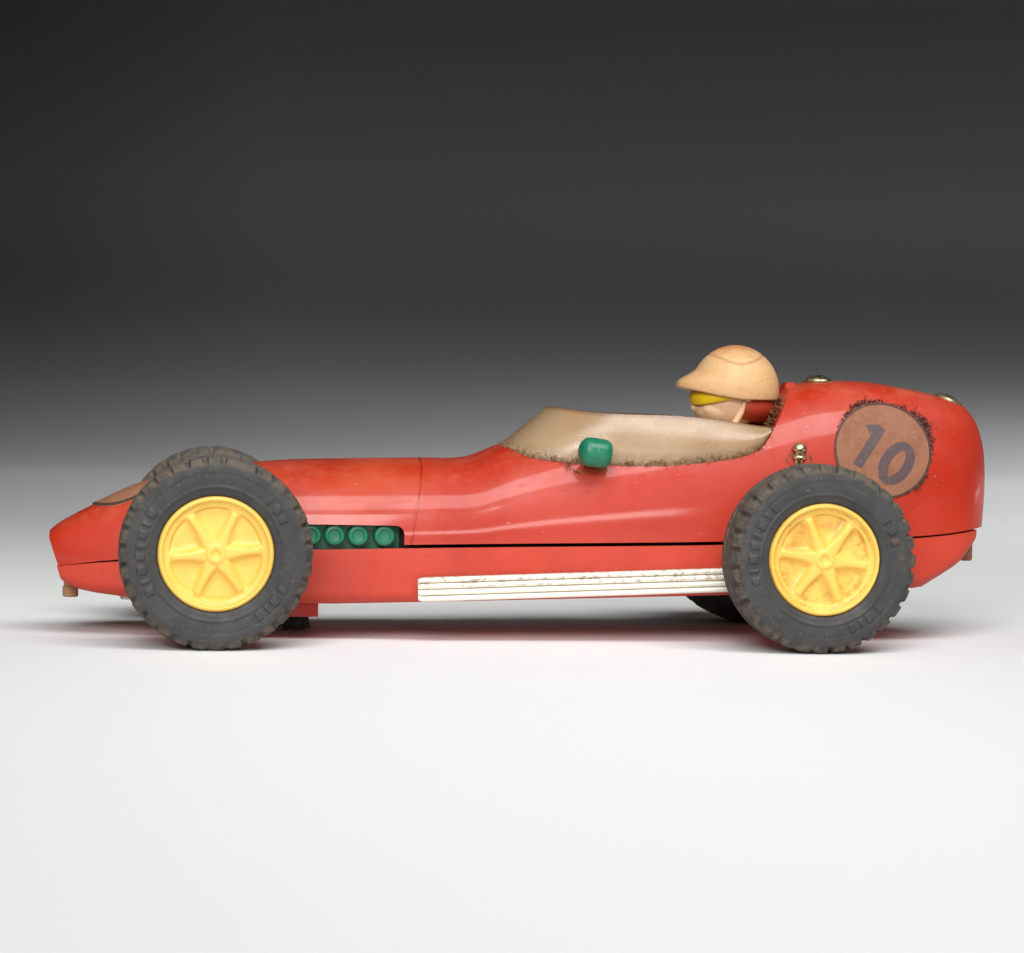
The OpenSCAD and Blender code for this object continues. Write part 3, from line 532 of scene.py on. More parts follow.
plated_f = metal("exhaust_plating", (246, 240, 226), (206, 188, 160), 0.3, 0.12, metallic=0.45,
    relief=0.002)
# the valleys between the ribs are painted dark: painted shade in the grooves
plated_f.tint(plated_f.mark("line"), (74, 58, 44), 0.75)
plated_f.tint(plated_f.times(plated_f.mark("grime"),
    plated_f.ramp(plated_f.noise(1.1, 4, 0.7, seed=51), 0.5, 0.62)), (150, 116, 84), 0.6)
plated_f.dull(plated_f.mark("grime"), 0.5)
plated = plated_f.done()
chrome = metal("cap_plating", (210, 194, 156), (110, 84, 64), 0.24, 0.5).done()
steel = metal("bright_steel", (196, 194, 190), (110, 90, 74), 0.28, 0.35).done()
plate = metal("bearing_steel_plate", (150, 146, 140), (96, 70, 50), 0.42, 0.4).done()
brass = metal("gear_brass", (206, 164, 88), (110, 80, 40), 0.3, 0.35).done()
iron = metal("flywheel_iron", (92, 90, 88), (70, 48, 34), 0.42, 0.5).done()
rust = metal("tab_rusty_sheet", (150, 100, 78), (96, 48, 28), 0.55, 0.8, metallic=0.5).done()


def rubber():
    f = Finish("tyre_rubber", (50, 50, 51), 0.62, **{"Specular_IOR_Level": 0.5})
    f.tint(f.ramp(f.noise(8, 5, 0.65, seed=1), 0.35, 0.7), (64, 64, 64), 0.7)
    f.tint(f.ramp(f.noise(0.6, 3, 0.7, seed=2), 0.6, 0.74), (124, 112, 98), 0.5)
    f.tint(f.times(f.up(0.2, 0.9), f.ramp(f.noise(2.5, 5, 0.7, seed=3), 0.3, 0.7)),
        (112, 108, 102), 0.5)
    f.tint(f.times(f.mark("tread"), f.ramp(f.noise(1.6, 5, 0.7, seed=6), 0.38, 0.62)),
        (112, 96, 78), 0.65)
    f.tint(f.ramp(f.noise(6, 5, 0.7, seed=9), 0.63, 0.72), (112, 70, 46), 0.55)
    f.dull(f.ramp(f.noise(3, 4, 0.6, seed=4), 0.3, 0.7), 0.85)
    f.dull(f.mark("tread"), 0.95, 0.7)
    f.raise_(f.noise(0.9, 4, 0.6, seed=5), 0.05)
    f.raise_(f.noise(4, 3, 0.6, seed=8), 0.12)
    return f.done()


tyre_mat = rubber()


def paper():
    f = Finish("number_disc_paper", (146, 100, 76), 0.7, **{"Specular_IOR_Level": 0.3})
    f.tint(f.ramp(f.noise(4, 5, 0.7, seed=1), 0.4, 0.7), (130, 80, 56), 0.7)
    f.tint(f.ramp(f.noise(0.6, 3, 0.7, seed=2), 0.55, 0.7), (176, 134, 110), 0.45)
    f.raise_(f.noise(0.4, 3, 0.6, seed=3), 0.01)
    return f.done()


def ink(name, colour):
    f = Finish(name, colour, 0.6)
    f.tint(f.ramp(f.noise(0.8, 4, 0.7, seed=1), 0.45, 0.75), (130, 96, 84), 0.45)
    return f.done()


paper_mat = paper()
ink_mat = ink("number_ink", (82, 66, 68))
edge_mat = ink("number_disc_edge", (70, 46, 40))


def screen_material():
    f = Finish("screen_brown_clear", (198, 168, 132), 0.26, IOR=1.46, Transmission_Weight=0.36,
        Coat_Weight=0.3, Coat_Roughness=0.28)
    f.tint(f.ramp(f.noise(14, 2, 0.5, seed=1), 0.35, 0.7), (176, 136, 96), 0.5)
    f.tint(f.ramp(f.noise(0.3, 2, 0.6, seed=2), 0.68, 0.76), (228, 208, 176), 0.35)
    f.tint(f.times(f.mark("low"), f.ramp(f.noise(0.9, 5, 0.8, seed=5), 0.4, 0.62)),
        (104, 72, 44), 0.85)
    f.tint(f.mark("edge"), (110, 72, 44), 0.7)
    f.dull(f.ramp(f.noise(2.2, 5, 0.7, seed=3), 0.4, 0.75), 0.45)
    f.dull(f.mark("low"), 0.8)
    f.raise_(f.noise(5, 3, 0.5, seed=4), 0.06)
    return f.done()


screen_mat = screen_material()


def bristle():
    f = Finish("bristle_black", (38, 34, 32), 0.6)
    f.tint(f.ramp(f.noise(0.5, 3, 0.6, seed=1), 0.5, 0.7), (96, 84, 72), 0.6)
    return f.done()


bristle_mat = bristle()


def fluff():
    f = Finish("dust_fluff", (150, 116, 78), 0.9)
    f.tint(f.ramp(f.noise(1.2, 2, 0.5, seed=1), 0.4, 0.6), (84, 58, 36), 0.8)
    return f.done()


fluff_mat = fluff()

# CAD nodes that stay get a finish too
for names, mat in (
    (("cockpit_tub", "dashboard"), brown), (("steering_wheel",), brown), (("steering_column",), steel),
    (("engine_block",), green), (("front_bearing", "motor_plate_left", "motor_plate_right"), plate),
    (("front_axle", "rear_axle", "arbor_shaft", "flywheel_shaft", "motor_pillars", "body_screws",
      "motor_screws"), steel),
    (("axle_gear", "arbor_pinion", "arbor_gear", "flywheel_pinion"), brass), (("flywheel",), iron),
    (("radiator_grille",), black), (("brush_holder",), pan_red)):
    for n in names:
        for s in nodes[n].material_slots:
            s.material = mat

# ---- upper body ----
def stations(lo, hi, step):
    n = int(math.ceil((hi - lo) / step))
    return [lo + (hi - lo) * k / n for k in range(n + 1)]


def end_stations(lo, hi, step=1.5, inset=0.0):
    """Places along the body, closer together at both ends."""
    mid = stations(lo + 6, hi - 6, step)
    near = [lo + 6 * (1 - cos(pi / 2 * k / 12)) for k in range(12)]
    far = [hi - 6 * (1 - cos(pi / 2 * k / 12)) for k in range(11, -1, -1)]
    return near + mid + far


def body_ring(x, inset, foot, steps=72):
    w = max(0.05, half_width(x) - inset)
    ring = [(leant(x, seam(x)), w, seam(x) - foot)] if foot else []
    ring += [skin(x, pi * k / steps, min(inset, half_width(x) - 0.05)) for k in range(steps + 1)]
    if foot:
        ring.append((leant(x, seam(x)), -w, seam(x) - foot))
    return ring


def across_prism(name, outline, half=30):
    """Outline in X and Z pushed right across the car."""
    n = len(outline)
    verts = [(x, y, z) for y in (-half, half) for x, z in outline]
    faces = [tuple(range(n)), tuple(range(2 * n - 1, n - 1, -1))]
    faces += [(j, n + j, n + (j + 1) % n, (j + 1) % n) for j in range(n)]
    return new_mesh(name, verts, faces)


def cockpit_cutter():
    xs = stations(cockpit_line[0][0], cockpit_line[-1][0], 0.6)
    edge = [(x, along(cockpit_line, x)) for x in xs]
    return across_prism("cut", [(edge[0][0], 60)] + edge + [(edge[-1][0], 60)])


def slot_cutter():
    r = slot_r
    corner = [(slot_rear - r + r * sin(a), slot_top - r + r * cos(a)) for a in np.linspace(0, pi / 2, 9)]
    return across_prism("cut", [(slot_front, slot_top - 12), (slot_front, slot_top)] + corner
        + [(slot_rear, slot_top - 12)])


def axle_cutter(x, top):
    r = axle_r + 0.9
    arc = [(x + r * cos(a), axle_z + (r * sin(a) if top < axle_z else -r * sin(a)))
        for a in np.linspace(0, pi, 17)]
    return across_prism("cut", arc + [(x - r, top), (x + r, top)])


def upper_body():
    outer = rings_mesh("upper_body_shell", [body_ring(x, 0, 0) for x in end_stations(nose_x, tail_x)])
    inner = rings_mesh("cut", [body_ring(x, wall, 2.5, 48) for x in end_stations(nose_x + wall,
        tail_x - wall, 3)])
    boolean(outer, [inner, cockpit_cutter(), slot_cutter(), axle_cutter(front_x, 5)])
    intake = lathe("cut", [(0, 0), (1, 0), (1, 5), (0, 5)], 48)
    for v in intake.data.vertices:
        c = v.co / MM
        v.co = Vector((nose_x - 1 + c.z, c.x * 3.8, 14.9 + c.y * 1.7)) * MM
    outward(intake)
    boolean(outer, [intake])
    plate = across_prism("cut", [(-22.75, 14), (-22.35, 14), (-19.0, 34), (-19.4, 34)])
    boolean(plate, [rings_mesh("cut", [body_ring(x, 0.4, 1, 48) for x in stations(-30, -12, 1.5)])])
    boolean(outer, [plate])
    for x, lift, tilt in ((54, -0.8, 2), (78.2, -1.2, 22)):
        boolean(outer, [lathe("cut", [(0, 0.2), (cap_r + 0.45, 0.2), (cap_r + 0.55, 4), (0, 4)], 48,
            (x, 0, crown(x) + lift), Matrix.Rotation(radians(tilt), 3, "Y"))])
    return outer


shell = upper_body()
# headrest wall behind the driver
rows = []
for t in np.linspace(0, 1, 14):
    z = 31 + t * 15.6
    x = 43.3 + 4.7 * (z - 31) / 17
    rows.append((x, z))
wall_rings = []
for x, z in rows:
    w = side_y(x, z, 0.6) if z < crown(x) - 1 else 2
    wall_rings.append([(x + 1.4 * 0, y, z) for y in np.linspace(-w, w, 21)] + [(x + 1.6, y, z)
        for y in np.linspace(w, -w, 21)])
headrest = rings_mesh("headrest_wall", wall_rings)
soften(shell, 30)
place(shell, "car", "upper_red", red, "upper_body")
place(headrest, "car", "upper_red", red)

# ---- lower pan ----
def pan_ring(x, inset, lift):
    w = max(0.2, half_width(x) - 0.35 - inset)
    top = seam(x) - seam_gap - (0 if lift else 0.3 * clamp((x + 60) / 30, 0, 1) * clamp((72 - x) / 20, 0,
        1)) + lift
    low = keel(x) + inset
    r = max(0.25, min(bilge_r, 0.45 * (seam(x) - keel(x)), 0.6 * w) - inset)
    ring = [(leant(x, top), -w, top)]
    ring += [(leant(x, low + r - r * sin(a)), r - w - r * cos(a), low + r - r * sin(a))
        for a in np.linspace(0, pi / 2, 9)]
    ring += [(leant(x, low + r - r * sin(a)), w - r + r * cos(a), low + r - r * sin(a))
        for a in np.linspace(pi / 2, 0, 9)]
    ring += [(leant(x, top), w, top)]
    push = 2.0 * clamp((-72 - x) / 11, 0, 1)
    return [(a - push, b, c) for a, b, c in ring]


def lower_pan():
    outer = rings_mesh("lower_pan_shell", [pan_ring(x, 0, 0) for x in end_stations(-83.1, 83.3)])
    inner = rings_mesh("cut", [pan_ring(x, wall, 3) for x in end_stations(-81.8, 82, 3)])
    boolean(outer, [inner, axle_cutter(front_x, 30), axle_cutter(rear_x, 30)])
    soften(outer, 30)
    return outer


place(lower_pan(), "car", "pan_red", pan_red, "lower_pan")

# ---- windscreen ----
def foot_point(u, inset):
    x = cockpit_line[0][0] + inset + (screen_rear_x - cockpit_line[0][0]) * u * u
    z = along(cockpit_line, x)
    return (x, side_y(x, z, inset), z + 0.05)


def rim_point(u, inset):
    d = (screen_rear_x - rim_front_x) * u * u
    y = 12.9 * oval(1 - clamp(d / 14, 0, 1), 2.2)
    return (rim_front_x + inset + d, max(0, y - inset * min(1, 3 * u)), along(rim_line, rim_front_x + d))


def screen_point(u, v, inset):
    a, b = foot_point(abs(u), inset), rim_point(abs(u), inset)
    swell = 0.9 * sin(pi * v) * clamp(2 * abs(u), 0, 1)
    s = 1 if u > 0 else (-1 if u < 0 else 0)
    return (a[0] + (b[0] - a[0]) * v, s * (a[1] + (b[1] - a[1]) * v + swell), a[2] + (b[2] - a[2]) * v)


def windscreen():
    us = np.linspace(-1, 1, 97)
    rings = []
    for u in us:
        front = [screen_point(u, v, 0.2) for v in np.linspace(0, 1, 13)]
        back = [screen_point(u, v, 0.2 + screen_t) for v in np.linspace(1, 0, 13)]
        rings.append(front + back)
    ob = rings_mesh("windscreen_sheet", rings)
    vs = list(np.linspace(0, 1, 13)) + list(np.linspace(1, 0, 13))
    marked(ob, "low", [clamp(1 - v / 0.34, 0, 1) ** 1.5 for u in us for v in vs])
    marked(ob, "edge", [clamp((v - 0.93) / 0.07, 0, 1) for u in us for v in vs])
    return ob


place(windscreen(), "car", "screen_brown", screen_mat, "windscreen")

# ---- wheels ----
def at_wheel(ob, x, side):
    m = Matrix.Translation((x, side * wheel_y, axle_z)) @ Matrix.Rotation(radians(side * -90), 4, "X")
    for v in ob.data.vertices:
        v.co = (m @ (v.co / MM)) * MM
    return ob


def tyre(name):
    """Nicks run round both shoulders, with a ring and plain moulded marks on the side."""
    w, s, R = tyre_w, 2.7, tyre_r
    prof = [(hub_r, 0.6), (hub_r, 6), (hub_r, 12.6), (hub_r + 0.12, 12.9), (hub_r + 0.4, 13.1),
        (10.5, 13.25), (10.8, 13.35),
        (11.0, 13.45), (11.15, 13.62), (11.35, 13.64), (11.55, 13.5)]
    prof += [(r, 13.48 + 0.1 * sin(pi * (r - 11.55) / 2.2)) for r in np.linspace(11.75, 13.4, 11)]
    prof += [(13.45, 13.52), (13.65, 13.6), (13.85, 13.6)]
    prof += [(R - s + s * sin(a), w - 0.35 - s + s * cos(a)) for a in np.linspace(0.42, pi / 2, 14)]
    prof += [(R, 8.6), (R, 8.4), (R - 0.25, 8.3), (R - 0.25, 5.7), (R, 5.6), (R, 5.4)]
    prof += [(R - 4.6 + 4.6 * sin(a), 0.2 + 4.6 - 4.6 * cos(a)) for a in np.linspace(pi / 2, 0.5, 14)]
    prof += [(13.4, 0.4), (12.2, 0.1), (11.2, 0.2), (hub_r + 0.4, 0.5)]
    lugs, per = 32, 14
    steps = lugs * per
    m = len(prof)
    verts, faces, tread = [], [], []
    wear = [rng.uniform(0.25, 1.0) for _ in range(lugs)]
    marks = [(t, t + d) for t, d in ((2.45, 0.10), (2.63, 0.05), (2.74, 0.12), (2.93, 0.06), (3.05, 0.10),
        (3.22, 0.12), (3.42, 0.05),
        (3.53, 0.11), (5.2, 0.09), (5.36, 0.05), (5.47, 0.11), (5.66, 0.08), (0.35, 0.09), (0.5, 0.1),
        (0.68, 0.05))]
    for k in range(steps):
        a = 2 * pi * k / steps
        t = (k % per) / per
        lug = wear[k // per]
        notch = lug * max(0.0, 1 - abs(t - 0.18) / 0.18) ** 0.35 if t < 0.36 else 0.0
        wob = 0.05 * sin(3 * a + 1) + 0.04 * sin(7 * a + 2)
        raised = max([clamp(min(a - lo, hi - a) / 0.012, 0, 1) for lo, hi in marks] + [0])
        for j, (r, h) in enumerate(prof):
            edge = clamp((r - 14.9) / 0.7, 0, 1) * clamp((abs(h - 7) - 3.2) / 0.9, 0, 1)
            far = clamp((r - 14) / 2, 0, 1)
            rr = r - 0.95 * notch * edge + wob * far * (1 if h > 0 else 0)
            rr = min(rr, R)
            hh = h + (-0.5 if h > 7 else 0.5) * notch * edge
            if h > 13 and 11.9 < r < 13.3:
                hh += 0.3 * raised
            verts.append((rr * cos(a), rr * sin(a), min(hh, w)))
            tread.append(clamp((r - 14.6) / 0.8, 0, 1))
    for k in range(steps):
        for j in range(m):
            a, b = k * m + j, k * m + (j + 1) % m
            c, d = ((k + 1) % steps) * m + (j + 1) % m, ((k + 1) % steps) * m + j
            faces.append((a, b, c, d))
    return marked(new_mesh(name, verts, faces, 50), "tread", tread)


def hub(name):
    """Dished face with six rounded spokes that widen to the middle, inside a lipped rim."""
    steps = 240
    floor_z, tops = 11.5, 12.95
    radii = list(np.linspace(0.25, 8.1, 42))
    rim = [(8.25, 12.35), (8.4, 12.5), (8.6, 12.52), (8.72, 12.6), (8.8, 12.95), (8.95, 13.2), (9.15, 13.3),
        (9.4, 13.22), (9.6, 12.95), (9.7, 12.6),
        (hub_r, 12.3)]
    back = [(hub_r, 0.6), (8.3, 0.6), (8.3, 9), (3.2, 9), (3.2, 1)]

    def height(r, a):
        u = ((a + pi / 6) % (pi / 3)) - pi / 6
        d = abs(r * sin(u))
        wide = 0.72 + 1.5 * math.exp(-max(0, r - 1.7) / 1.35) + 0.5 * clamp((r - 6.7) / 1.4, 0, 1) ** 2
        spoke = 1 / (1 + (d / wide) ** 4)
        z = floor_z + (tops - 0.35 * r / 8 - floor_z) * spoke
        z += 0.28 * clamp((r - 3) / 4, 0, 1) * (1 - spoke) * 0.6
        up = clamp((r - 7.35) / 0.7, 0, 1)
        z += (12.35 - z) * up * up * (3 - 2 * up)
        z -= 0.22 * math.exp(-((r - 7.62) / 0.14) ** 2)
        boss = clamp((1.75 - r) / 0.25, 0, 1)
        z = z * (1 - boss) + (13.15 - 0.35 * clamp((0.9 - r) / 0.4, 0, 1)) * boss
        return z

    verts, grime = [(0, 0, 12.8)], [0]
    for r in radii:
        for k in range(steps):
            a = 2 * pi * k / steps
            z = height(r, a)
            verts.append((r * cos(a), r * sin(a), z))
            grime.append(clamp((12.35 - z) / 0.5, 0, 1) * clamp((r - 2.5) / 4, 0, 1))
    for r, z in rim + back:
        for k in range(steps):
            a = 2 * pi * k / steps
            verts.append((r * cos(a), r * sin(a), z))
            grime.append(0.8 if r > 9.5 or 8.3 < r < 8.7 else 0.1)
    verts.append((0, 0, 1))
    grime.append(0)
    rows = len(radii) + len(rim) + len(back)
    faces = [(0, 1 + k, 1 + (k + 1) % steps) for k in range(steps)]
    for i in range(rows - 1):
        for k in range(steps):
            a, b = 1 + i * steps + k, 1 + i * steps + (k + 1) % steps
            faces.append((a, a + steps, b + steps, b))
    last = 1 + (rows - 1) * steps
    faces += [(last + k, last + (k + 1) % steps, len(verts) - 1) for k in range(steps)]
    return marked(new_mesh(name, verts, faces, 50), "grime", grime)


hub0, tyre0 = hub("hub_master"), tyre("tyre_master")
spoke_turn = {("front", -1): 5, ("rear", -1): -8, ("front", 1): 20, ("rear", 1): 35}
for end, x, body in (("front", front_x, "front_wheels"), ("rear", rear_x, "rear_wheels")):
    for side, word in ((-1, "left"), (1, "right")):
        for master, kind, slot_name, mat in ((hub0, "hub", "hub_yellow", yellow if end == "front"
            else yellow_grimy), (tyre0, "tyre", "tyre_rubber", tyre_mat)):
            me = master.data.copy()
            ob = bpy.data.objects.new(f"{kind}_{end}_{word}_moulding", me)
            scene.collection.objects.link(ob)
            rot = Matrix.Rotation(radians(spoke_turn[(end, side)]), 4, "Z")
            for v in me.vertices:
                v.co = rot @ v.co
            at_wheel(ob, x, side)
            place(ob, body, slot_name, mat, f"{kind}_{end}_{word}")
for o in (hub0, tyre0):
    bpy.data.objects.remove(o, do_unlink=True)

# ---- exhaust ----
def exhaust(name):
    """Plated strip with four ribs, drawn along its own length at the left side."""
    run = Vector((exhaust_rear[0] - exhaust_front[0], 0, exhaust_rear[1] - exhaust_front[1]))
    L = run.length
    tilt = -math.atan2(run.z, run.x)
    h = exhaust_h
    prof = [(0.0, -h / 2 + 0.05), (0.45, -h / 2)]
    for k in range(4):
        c = (k + 0.5) * h / 4 - h / 2
        rr = h / 8 - 0.03
        prof += [(0.55 + rr * 1.35 * cos(a), c + rr * sin(a))
            for a in np.linspace(-pi / 2 + 0.12, pi / 2 - 0.12, 9)]
    prof += [(0.45, h / 2), (0.0, h / 2 - 0.05)]
    rings = []
    for s in [0, 0.15, 0.4, 0.9] + list(np.linspace(2, L - 2, 40)) + [L - 0.9, L - 0.4, L - 0.15, L]:
        e = min(s, L - s)
        f = 0.82 + 0.18 * min(1, e / 0.9) ** 0.5
        ring = []
        for y, z in prof:
            p = Matrix.Rotation(tilt, 3, "Y") @ Vector((s, 0, z * f))
            ring.append((exhaust_front[0] + p.x, -exhaust_y - y * f, exhaust_front[1] + p.z))
        rings.append(ring)
    ob = rings_mesh(name, rings)
    # line is 1 in the valleys between the ribs, where the painted shade goes
    marked(ob, "line", [clamp((0.72 - y) / 0.12, 0, 1) for r in rings for y, z in prof])
    return marked(ob, "grime", [clamp(z / 0.6 + 0.25, 0.12, 1) for r in rings for y, z in prof])


left = exhaust("exhaust_left_strip")
right = mirrored(left, "exhaust_right_strip")
place(left, "car", "exhaust_silver", plated, "exhaust_left")
place(right, "car", "exhaust_silver", plated, "exhaust_right")

# ---- caps ----
cap_profile = [(0, -0.8), (1.3, -0.8), (1.3, 0.35), (cap_r - 0.3, 0.45), (cap_r - 0.05, 0.6), (cap_r, 0.9),
    (cap_r - 0.12, 1.15), (cap_r - 0.45, 1.4),
    (cap_r - 1, 1.72), (cap_r - 1.8, 1.93), (0, 2)]
for n, x, lift, tilt in (("filler_cap_headrest", 54, -0.8, 2), ("filler_cap_tail", 78.2, -1.2, 22)):
    ob = lathe(n + "_dome", cap_profile, 64, (x, 0, crown(x) + lift),
        Matrix.Rotation(radians(tilt), 3, "Y"))
    place(ob, "car", "cap_chrome", chrome, n)
for side, word in ((-1, "left"), (1, "right")):
    prof = [(0, -1.6), (0.9, -1.6), (0.9, 0.35), (1.2, 0.45), (1.38, 0.7), (1.38, 1.1), (1.2, 1.3),
        (0.85, 1.45), (0.85, 1.85),
        (1.15, 2.0), (1.32, 2.25), (1.32, 2.7), (1.15, 2.95), (0.8, 3.2), (0.4, 3.42), (0, 3.5)]
    ob = lathe(f"side_cap_{word}_stem", prof, 48, (47.2, side * (side_y(47.2, 32.6) - 0.4), 32.6),
        Matrix.Rotation(radians(side * -14), 3, "X"))
    place(ob, "car", "cap_chrome", chrome, f"side_cap_{word}")

# ---- engine ends ----
for side, word in ((-1, "left"), (1, "right")):
    obs = []
    for x in engine_end_xs:
        reach = half_width(x) - 1 - 12.2
        r = stub_r
        prof = [(0, 0), (r, 0), (r, reach - 0.35), (r - 0.15, reach - 0.1), (r - 0.4, reach), (1.15, reach),
            (1.0, reach - 0.25), (0.8, reach - 0.3), (0, reach - 0.3)]
        obs.append(lathe("part", prof, 48, (x, side * 12.2, engine_end_z),
            Matrix.Rotation(radians(side * -90), 3, "X")))
    place(joined(f"engine_ends_{word}_turned", obs), "car", "trim_green", green, f"engine_ends_{word}")

# a black box behind the engine slot: painted shade for the dark inside of the slot
shade = box_mesh("engine_bay_painted_shade", (slot_front + 2, -12.0, 15.9), (slot_rear + 3.5, 12.0, 20.6))
bevelled(shade, 0.6, 2)
place(shade, "car", "grille_black", black)
ribs = []
for side in (-1, 1):
    for k in range(9):
        x = -48 + 0.78 * k
        ribs.append(box_mesh("p", (x, side * (half_width(x) - 2.2) - 1.1, 16.75),
            (x + 0.42, side * (half_width(x) - 2.2) + 1.1, 20.1)))
place(bevelled(joined("engine_side_ribs", ribs), 0.1, 1), "car", "trim_green", green)

# ---- mirrors ----
for side, word in ((-1, "left"), (1, "right")):
    mr = 2.56
    prof = [(mr * sin(a), 1.9 * (1 - cos(a))) for a in np.linspace(0, pi / 2, 14)]
    prof[0] = (0, 0)
    prof += [(mr + 0.03, 2.9), (mr - 0.12, 3.05), (mr + 0.03, 3.2), (mr, 4.4), (mr - 0.1, 5.0),
        (mr - 0.35, 5.5), (mr - 0.8, 5.85), (mr - 1.4, 5.9), (mr - 1.6, 5.6), (0, 5.5)]
    head = lathe("part", prof, 56, (6.95, side * 18.35, 34.1), Matrix.Rotation(radians(90 + 7), 3, "Y"))
    m = Matrix.Rotation(radians(side * -57), 3, "X")
    base = Vector((9.4, side * 18.4, 34))
    stalk = rod("part", base + m @ Vector((0, 0, -0.8)), base + m @ Vector((0, 0, -3.9)), 1.1, 0.85)
    place(melted(f"mirror_{word}_bullet", [head, stalk], 0.16, 3), "car", "trim_green", green,
        f"mirror_{word}")

# ---- driver ----
dx = driver_x
torso = [ball("p", (dx - 1.4, 0, 25), (4.8, 7.8, 5)), ball("p", (dx - 2, 0, 29.5), (4.6, 7.6, 4.6)),
    ball("p", (dx - 1.2, 0, 32.4), (3.9, 8.4, 3.4)), rod("p", (dx - 1.2, -6.6, 32.4), (dx - 1.2, 6.6, 32.4),
    3.0),
    rod("p", (dx - 0.4, 0, 33), (dx - 0.6, 0, 38.2), 3.9, 3.1)]
for s in (-1, 1):
    torso += [rod("p", (dx - 2, s * 7.4, shoulder_z - 1.6), (27.5, s * 8.3, 28.2), 2.7, 2.1),
        rod("p", (27.5, s * 8.3, 28.2), (15.6, s * 5.2, 31.4), 2.1, 1.5),
        ball("p", (14.6, s * 4.9, 31.8), (1.9, 1.4, 1.5))]
place(melted("driver_torso_figure", torso, 0.35, 5), "car", "driver_overalls", overall, "driver_torso")

head = [ball("p", (dx - 0.9, 0, 43.2), (6.3, 5.3, 5.0)), ball("p", (dx - 2.8, 0, 41.4), (4.6, 4.5, 2.9)),
    ball("p", (dx - 5.0, 0, 40.0), (1.7, 1.9, 1.1)), rod("p", (dx - 6.5, 0, 43.3), (dx - 7.3, 0, 41.75),
    0.6, 0.85),
    ball("p", (dx - 6.2, 0, 40.35), (0.75, 1.5, 0.35)), ball("p", (dx - 6.1, 0, 39.8), (0.75, 1.3, 0.4))]
for s in (-1, 1):
    head += [ball("p", (dx - 4.6, s * 2.5, 41.6), (1.9, 1.6, 1.5)),
        ball("p", (dx - 7.0, s * 0.75, 41.75), (0.6, 0.6, 0.5)),
        rod("p", (dx - 5.9, s * 0.9, 43.9), (dx - 5.3, s * 3.0, 43.9), 0.6)]
place(melted("driver_head_figure", head, 0.18, 4), "car", "driver_skin", face, "driver_head")


def helmet():
    """Round shell open below, whose front sweeps out into a long peak."""
    ob = ball("helmet_shell", (dx + 0.05, 0, helmet_z), (helmet_r, helmet_r * 0.92, helmet_r * 1.03), 72,
        96)
    for v in ob.data.vertices:
        x, y, z = v.co / MM
        front = clamp((dx - x) / helmet_r, 0, 1) ** 2.2
        low = clamp((49.0 - z) / 2.6, 0, 1)
        v.co.x -= 2.9 * front * low * low * (3 - 2 * low) * MM
    under = across_prism("cut", [(dx - 15, 30), (dx - 15, 45.9), (27.2, 45.5), (29.8, 44.95), (34, 44.0),
        (38.2, 43.35), (60, 43.2), (60, 30)], 12)
    inner = ball("cut", (dx, 0, helmet_z), (helmet_r * 0.87, helmet_r * 0.76, helmet_r * 0.88), 32, 48)
    boolean(ob, [joined("cut", [inner]), under])
    m = ob.modifiers.new("v", "REMESH")
    m.mode, m.voxel_size, m.use_smooth_shade = "VOXEL", 0.2 * MM, True
    s = ob.modifiers.new("s", "SMOOTH")
    s.iterations, s.factor = 5, 0.5
    applied(ob)
    ob.data.shade_smooth()
    # a fine moulded line runs round the crown
    lines = []
    for v in ob.data.vertices:
        c = v.co / MM
        q = math.hypot((c.x - dx) / 4.9, c.y / 6.0)
        k = math.exp(-((q - 1) / 0.03) ** 2) * (1 if c.z > helmet_z + 3 else 0)
        lines.append(k)
        v.co -= v.normal * (0.1 * k * MM)
    return marked(ob, "line", [0.7 * v for v in lines])


place(helmet(), "car", "helmet_cream", cream, "driver_helmet")


def band(name, centre, radii, t, z0, z1, from_a, to_a, bulge=0.3, bottom=None):
    """A closed strip round the head between two angles, swelling outward in the middle of its height."""
    cx, cy = centre
    rings = []
    for a in np.linspace(from_a, to_a, 61):
        ring = []
        for v in np.linspace(0, 1, 9):
            rx, ry = radii
            if bottom:
                rx, ry = rx + (bottom[0] - rx) * (1 - v), ry + (bottom[1] - ry) * (1 - v)
            k = 1 + bulge * sin(pi * v) / rx
            ring.append((cx + rx * k * cos(a), cy + ry * k * sin(a), z0 + (z1 - z0) * v))
        for v in np.linspace(1, 0, 9):
            rx, ry = radii
            if bottom:
                rx, ry = rx + (bottom[0] - rx) * (1 - v), ry + (bottom[1] - ry) * (1 - v)
            k = 1 - t / rx
            ring.append((cx + rx * k * cos(a), cy + ry * k * sin(a), z0 + (z1 - z0) * v))
        rings.append(ring)
    return rings_mesh(name, rings)


goggles = [band("p", (dx - 1.1, 0), (6.9, 5.9), 0.9, 42.2, 44.8, pi - 1.5, pi + 1.5, 0.35)]
for v in goggles[0].data.vertices:
    k = clamp((v.co.x / MM - (dx - 7)) / 8, 0, 1)
    v.co.z = (44.6 + (v.co.z / MM - 44.6) * (1 - 0.7 * k)) * MM
place(melted("driver_goggles_band", goggles, 0.15, 3), "car", "goggle_yellow", ochre, "driver_goggles")
flap = melted("driver_neck_flap_skin", [ball("p", (dx + 1.2, 0, 42.2), (6.3, 6.3, 3.9), 32, 48)], 0.3, 2)
boolean(flap, [ball("cut", (dx - 0.2, 0, 42), (5.6, 5.1, 9)),
    across_prism("cut", [(dx - 12, 60), (dx + 1.6, 60), (dx + 0.9, 43.5), (dx + 0.2, 36), (dx - 12, 36)],
    12),
    across_prism("cut", [(20, 44.2), (60, 44.2), (60, 50), (20, 50)], 12)])
soften(flap, 30)
strap = []
for sgn in (-1, 1):
    strap.append(rod("p", (dx + 1.5, sgn * 5.5, 43.6), (dx - 0.9, sgn * 4.7, 38.9), 0.75, 0.6))
place(melted("helmet_strap", strap, 0.13, 3), "car", "helmet_cream", face)
place(flap, "car", "flap_brown", maroon, "driver_neck_flap")

